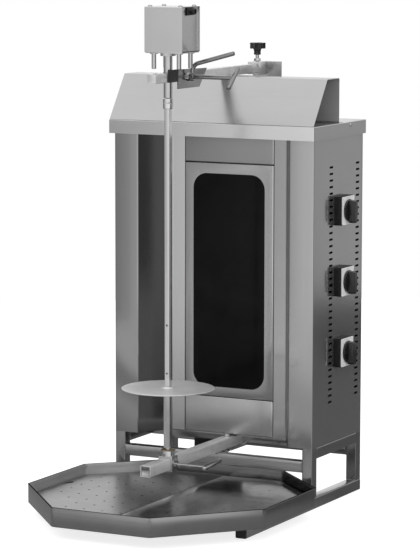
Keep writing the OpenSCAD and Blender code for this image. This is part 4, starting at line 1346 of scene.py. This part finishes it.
def clampHandle(name, node, place, thick, screw, tilt, reach, steps):
    # a round bar through the end of a screw; thick and screw are radii in mm, reach is the
    # bar's length to either side of the screw
    low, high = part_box(node)
    barX = high.x - thick * mm
    centre = Vector((barX, *place))
    way = Vector((0, math.cos(math.radians(tilt)), math.sin(math.radians(tilt))))
    bar = barWithRoundEnds(name + 'Bar', centre - way * reach[0] * mm,
                           centre + way * reach[1] * mm, thick, 0.7)
    length = (barX - low.x) / mm
    stem = turned(name + 'Screw', [(0, 0), (screw - 0.8, 0), (screw, 0.8), (screw, length),
                                   (0, length)], (low.x, *place), across, steps)
    return [bar, stem]


def buildLowerHandle():
    low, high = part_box("lower_arm")
    place = (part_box("carriage")[0].y + lower['clampInset'], (low.z + high.z) / 2)
    parts = clampHandle('lower', "lower_handle", place, 5, 3.5, 4, (15.9, 65.9), 28)
    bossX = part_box("lower_handle")[1].x - lower['bossInset']
    parts.append(turned('lowerBoss', lower['boss'], (bossX, *place), across, 32))
    fitted(joined('lowerHandle', parts), 'rod', 'lower_handle', 'rod_steel', "lower_handle")


buildLowerArm()
buildCarriage()
buildLowerHandle()
print('lower support is built')


# ---- upper spit support ----

upper = {
    'side': 20 * mm, 'corner': 1.9 * mm, 'wall': 1.5 * mm, 'mouth': 30 * mm,
    'spitFront': 11 * mm, 'tubeRadius': 9.5, 'tubeBore': 7.05, 'tubeHole': 9.4 * mm,
    'keyWay': (1.6 * mm, 5 * mm, 11 * mm),
    'seam': [(9.2, 0), (10.8, 0), (10.4, 0.8), (9.2, 1.5), (9.2, 0)],
    'clamp': (frontY - 145.4 * mm, 947.3 * mm),
}
star = {
    'y': frontY + 220 * mm, 'head': 13 * mm, 'core': 15.4 * mm, 'lobe': 3.2 * mm, 'turn': 20,
    'hubLow': 978 * mm,
    'hub': [(0, 0), (6.6, 0), (8, 1.2), (7.4, 6), (8.6, 12), (10.5, 14.4), (0, 14.4)],
    'stem': 4, 'nutLow': 964 * mm, 'nut': (7.5 * mm, 6 * mm),
}
lever = {
    'x': 26.5 * mm, 'hub': 9, 'bore': 4.55, 'width': 8, 'foot': 7 * mm,
    'thick': 4.8 * mm, 'bend': 18 * mm, 'stub': 5 * mm, 'reach': 89 * mm, 'rise': math.radians(15),
}


def buildUpperArm():
    low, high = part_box("upper_arm")
    side = upper['side']
    z0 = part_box("bearing_block")[0].z
    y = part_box("spit_bar")[0].y + upper['spitFront']
    arm = block('armTube', (-side / 2, low.y, z0), (side / 2, high.y, z0 + side))
    work(arm, 'EDGE', runs(back), rounded(upper['corner'], 4))
    work(arm, 'FACE', faces(back), drawnIn(upper['wall']), pulled(back * -upper['mouth']))
    softened(arm, 0.4 * mm, 2, 60)
    cut(arm, rod('armBore', (0, y, z0 - 5 * mm), (0, y, z0 + side + 5 * mm), upper['tubeHole'],
                 48))
    r, bore, tall = upper['tubeRadius'], upper['tubeBore'], (high.z - low.z) / mm
    tube = turned('bearingTube', [(bore, 0), (r - 0.6, 0), (r, 0.6), (r, tall - 0.5),
                                  (r - 0.5, tall), (bore, tall), (bore, 0)],
                  (0, y, low.z), up, 56)
    half, near, far = upper['keyWay']
    cut(tube, block('keyWay', (-half, y + near, high.z - 5 * mm),
                    (half, y + far, high.z + 1 * mm)))
    seam = turned('tubeSeam', upper['seam'], (0, y, z0 + side), up, 48)
    fitted(arm, 'arm', 'upper_arm', 'arm_steel', "upper_arm")
    fitted(tube, 'rod', 'upper_arm', 'arm_steel', "upper_arm")
    fitted(seam, 'weld', 'upper_arm', 'arm_steel')
    dressed("bearing_block", 'bearingBlock', 1.0, 'black', 'upper_arm', 'black_plastic', 3)
    dressed("side_plate", 'sidePlate', 0.5, 'plate', 'upper_arm', 'arm_steel')
    dressed("rear_bracket", 'rearBracket', 0.6, 'carriage', 'frame', 'arm_steel')
    dressed("arm_clamp", 'armClamp', 0.9, 'arm', 'frame', 'arm_steel')


def buildStarKnob():
    low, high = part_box("star_knob")
    x, y, headLow = 0, star['y'], high.z - star['head']
    putDown()
    bpy.ops.mesh.primitive_circle_add(vertices=80, radius=star['core'], location=(x, y, headLow),
                                      fill_type='NGON')
    head = called('starHead')
    start = math.radians(star['turn'])
    for v in head.data.vertices:
        # five lobes round the rim
        a = math.atan2(v.co.y - y, v.co.x - x) - start
        wave = math.cos(5 * a)
        reach = star['core'] + star['lobe'] * (wave * 0.62 + 0.38 * wave ** 3)
        v.co.x = x + reach * math.cos(a + start)
        v.co.y = y + reach * math.sin(a + start)
    work(head, 'FACE', everything, pulled(up * star['head']))
    outward(head)
    work(head, 'FACE', faces(up), drawnIn(5 * mm), pulled(up * -2.4 * mm), drawnIn(1.2 * mm),
         moved(up * 0.9 * mm))
    softened(head, 1.5 * mm, 3, 45)
    hub = turned('starHub', star['hub'], (x, y, star['hubLow']), up, 40)
    fitted(joined('starKnob', [head, hub]), 'knob', 'star_knob', 'knob_black', "star_knob")
    r, tall = star['stem'], (star['hubLow'] - low.z) / mm
    stem = turned('starStem', [(0, 0), (r - 0.8, 0), (r, 0.8), (r, tall), (0, tall)],
                  (x, y, low.z), up, 28)
    nut = hexagon('starNut', (x, y, star['nutLow']), up, *star['nut'])
    fitted(joined('starStem', [stem, nut]), 'screw', 'star_knob', 'screw_steel')


def buildUpperHandle():
    parts = clampHandle('upper', "upper_handle", upper['clamp'], 5.5, 4.5, 42.5, (31.9, 31.9), 32)
    fitted(joined('upperHandle', parts), 'bar', 'upper_handle', 'rod_steel', "upper_handle")


def buildLockLever():
    y0, z0 = upper['clamp']
    r, bore, wide = lever['hub'], lever['bore'], lever['width']
    hub = turned('leverHub', [(bore, 0), (r - 0.6, 0), (r, 0.6), (r, wide - 0.6),
                              (r - 0.6, wide), (bore, wide), (bore, 0)],
                 (lever['x'] - wide / 2 * mm, y0, z0), across, 40)
    start = Vector((lever['x'], y0, z0 + lever['foot']))
    putDown()
    bpy.ops.mesh.primitive_circle_add(vertices=28, radius=lever['thick'], location=start,
                                      fill_type='NGON')
    bar = called('leverRod')
    pivot = start + up * lever['stub'] + across * lever['bend']
    far = Vector((math.cos(lever['rise']), 0, math.sin(lever['rise'])))
    work(bar, 'FACE', everything, pulled(up * lever['stub']))
    outward(bar)
    work(bar, 'FACE', faces(up, 0.9), lambda: bpy.ops.mesh.spin(
        steps=10, angle=lever['rise'] - math.pi / 2, center=pivot, axis=back))
    outward(bar)
    work(bar, 'FACE', faces(far), pulled(far * (lever['reach'] - 1.2 * mm)))
    outward(bar)
    work(bar, 'FACE', lambda f: f.normal.dot(far) > 0.99 and len(f.verts) > 8,
         drawnIn(1.2 * mm), moved(far * 1.1 * mm))
    softened(bar, 0.4 * mm, 2, 30)
    fitted(joined('lockLever', [hub, bar]), 'bar', 'lock_lever', 'rod_steel', "lock_lever")


buildUpperArm()
buildStarKnob()
buildUpperHandle()
buildLockLever()
print('upper support is built')


# ---- motor unit ----

motor = {
    'bend': 2.0 * mm, 'inset': 1.4 * mm, 'shadow': 0.8 * mm, 'topGap': 0.9 * mm,
    'sideCorner': 3 * mm,
    'pin': 5, 'pinLength': 32, 'pinFlange': 9, 'pinStem': 3.9,
    'shaft': 7, 'squareHeight': 18 * mm, 'square': 4.9 * mm,
}
connector = {
    'plate': (3.4 * mm, 26 * mm), 'corner': 2.5 * mm, 'ringPlace': (17 * mm, 8 * mm),
    'ring': [(0, 0), (7, 0), (7, 3), (6.5, 3.4), (7, 3.8), (7, 5.4), (6.5, 5.8), (7, 6.2),
             (7, 7.6), (6.2, 8.9), (4.6, 8.9), (4.4, 5), (0, 5)],
    'togglePlace': (5 * mm, 10 * mm),
    'toggle': [(0, 0), (4, 0), (4, 2), (2, 2.6), (1.6, 4.8), (1.9, 5.6), (1.2, 6), (0, 6)],
}


def buildMotorCover():
    # a folded front, top and back, with two side plates set in by a shadow gap
    low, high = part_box("motor_cover")
    t, gap = casing['sheet'], motor['shadow']
    path = [(low.x, low.y, low.z), (low.x, low.y, high.z), (low.x, high.y, high.z),
            (low.x, high.y, low.z)]
    wrap = foldedSheet('motorWrap', path, across * (high.x - low.x), t, motor['bend'], 1)
    fitted(wrap, 'motor', 'motor_unit', 'motor_steel', "motor_cover")
    # the bent edges facing front and right get a pale tone, a painted highlight
    refaced(wrap, 'edgeHighlight', lambda f: 0.2 < f.normal.x < 0.97 and f.normal.y < -0.2)
    for side, x in (('Left', low.x + motor['inset']), ('Right', high.x - motor['inset'] - t)):
        plate = block('motorSide' + side, (x, low.y + t + gap, low.z),
                      (x + t, high.y - t - gap, high.z - t - motor['topGap']))
        work(plate, 'EDGE', lambda e: runs(across)(e)
             and (e.verts[0].co.z + e.verts[1].co.z) / 2 > low.z + 10 * mm,
             rounded(motor['sideCorner'], 4))
        softened(plate, 0.25 * mm)
        fitted(plate, 'motor', 'motor_unit', 'motor_steel', "motor_cover")
    dressed("motor_base", 'motorBase', 0.5, 'motor', 'motor_unit', 'motor_steel')


def buildPins():
    pins = []
    for k, (low, high) in enumerate(solidsOf("motor_pins")):
        r, h, wide, stem = (motor[key] for key in ('pin', 'pinLength', 'pinFlange', 'pinStem'))
        tall = (high.z - low.z) / mm
        pins.append(turned('pin%d' % k, [
            (0, 0), (r - 1, 0), (r, 1), (r, h), (wide - 0.4, h), (wide, h + 0.4), (wide, h + 1.6),
            (wide - 0.4, h + 2), (stem, h + 2), (stem, tall), (0, tall)],
            ((low.x + high.x) / 2, (low.y + high.y) / 2, low.z), up, 32))
    fitted(joined('motorPins', pins), 'rod', 'motor_unit', 'rod_steel', "motor_pins")


def buildShaft():
    low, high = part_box("drive_shaft")
    y, r, half = (low.y + high.y) / 2, motor['shaft'], motor['square']
    squareTop = low.z + motor['squareHeight']
    tall = (high.z - squareTop) / mm + 1
    shaft = turned('shaftRound', [(0, 0), (r - 0.6, 0), (r, 0.6), (r, tall), (0, tall)],
                   (0, y, squareTop - 1 * mm), up, 40)
    square = block('shaftSquare', (-half, y - half, low.z), (half, y + half, squareTop))
    softened(square, 0.6 * mm)
    fitted(joined('driveShaft', [shaft, square]), 'bar', 'drive_shaft', 'rod_steel',
           "drive_shaft")


def buildConnector():
    # flanged socket with a ribbed ring and a small toggle below it
    low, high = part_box("motor_connector")
    thick, wide = connector['plate']
    plate = block('connectorPlate', low, (low.x + thick, low.y + wide, high.z))
    work(plate, 'EDGE', runs(across), rounded(connector['corner'], 4))
    softened(plate, 0.5 * mm)
    parts = [plate]
    for name, steps in (('ring', 36), ('toggle', 28)):
        y, z = connector[name + 'Place']
        parts.append(turned(name, connector[name], (low.x + 3 * mm, low.y + y, low.z + z), across,
                            steps))
    fitted(joined('motorConnector', parts), 'black', 'motor_unit', 'black_plastic',
           "motor_connector")


buildMotorCover()
buildPins()
buildShaft()
buildConnector()
print('motor unit is built')


# ---- spit ----

spit = {
    'side': 12 * mm, 'corner': 0.7 * mm, 'squareLow': 15 * mm, 'collarLow': 882 * mm,
    'pinHoles': (315 * mm, 419 * mm), 'pinHole': 2.5 * mm,
    'foot': [(0, 0), (5.2, 0), (6, 0.8), (6, 16), (0, 16)],
    'collar': 11, 'socket': 5.2 * mm, 'socketFloor': 5 * mm,
    'sleeveCorner': 1.3 * mm, 'sleeveHole': 60 * mm,
    'disc': 2.5, 'hub': 13, 'discHole': 6.25 * mm,
}


def squareHole(piece, y, half, low, high):
    return cut(piece, block('squareHole', (-half, y - half, low), (half, y + half, high + 5 * mm)))


def pinHole(y, z, reach):
    return rod('pinHole', (0, y - reach, z), (0, y + reach, z), spit['pinHole'], 24)


def buildSpit():
    low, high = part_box("spit_bar")
    y, half, collarLow = (low.y + high.y) / 2, spit['side'] / 2, spit['collarLow']
    bar = block('spitSquare', (-half, y - half, low.z + spit['squareLow']),
                (half, y + half, collarLow + 1 * mm))
    work(bar, 'EDGE', runs(up), rounded(spit['corner'], 2))
    work(bar, 'FACE', faces(-up), shrunk(0.9, 0.9, 1, (0, y, low.z)))
    cut(bar, joined('pinHoles', [pinHole(y, z, 10 * mm) for z in spit['pinHoles']]))
    foot = turned('spitFoot', spit['foot'], (0, y, low.z), up, 40)
    r, h = spit['collar'], (high.z - collarLow) / mm
    collar = turned('spitCollar', [
        (0, 0), (r - 1.2, 0), (r, 1), (r, h * 0.44), (r - 0.5, h * 0.5), (r, h * 0.56),
        (r, h - 0.8), (r - 0.8, h), (0, h)], (0, y, collarLow), up, 48)
    squareHole(collar, y, spit['socket'], collarLow + spit['socketFloor'], high.z)
    fitted(joined('spitBar', [bar, foot, collar]), 'spit', 'spit', 'spit_steel', "spit_bar")
    low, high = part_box("spit_sleeve")
    wide = high.x
    sleeve = block('spitSleeve', (-wide, y - wide, low.z), (wide, y + wide, high.z))
    work(sleeve, 'EDGE', runs(up), rounded(spit['sleeveCorner'], 3))
    squareHole(sleeve, y, half, low.z - 5 * mm, high.z)
    cut(sleeve, pinHole(y, low.z + spit['sleeveHole'], 12 * mm))
    fitted(sleeve, 'rod', 'spit', 'spit_steel', "spit_sleeve")


def buildDisc():
    low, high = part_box("spit_disc")
    y = (low.y + high.y) / 2
    r, t, h, hub = high.x / mm, spit['disc'], (high.z - low.z) / mm, spit['hub']
    disc = turned('spitDisc', [
        (0, 0), (r - 1, 0), (r - 0.2, 0.5), (r, t / 2), (r - 0.2, t - 0.5), (r - 1, t),
        (hub + 0.6, t), (hub, t + 0.6), (hub - 0.2, h - 0.5), (hub - 0.8, h), (0, h)],
        (0, y, low.z), up, 128)
    squareHole(disc, y, spit['discHole'], low.z - 5 * mm, high.z)
    fitted(disc, 'disc', 'disc', 'spit_steel', "spit_disc")


buildSpit()
buildDisc()
print('spit is built')


# ---- pieces inside, which keep their CAD shape ----

for look, nodes in (
        ('inner', ("heater_carrier", "heater_pan_top", "heater_pan_middle",
                   "heater_pan_bottom")),
        ('board', ("heater_boards",)), ('ribbon', ("heater_ribbons",)),
        ('switchBlack', ("switch_cams",)), ('porcelain', ("terminal_block",)),
        ('paint', ("gear_motor",))):
    for node in nodes:
        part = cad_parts[node]
        part.data.materials.clear()
        part.data.materials.append(finish[look])
print('inside is dressed')
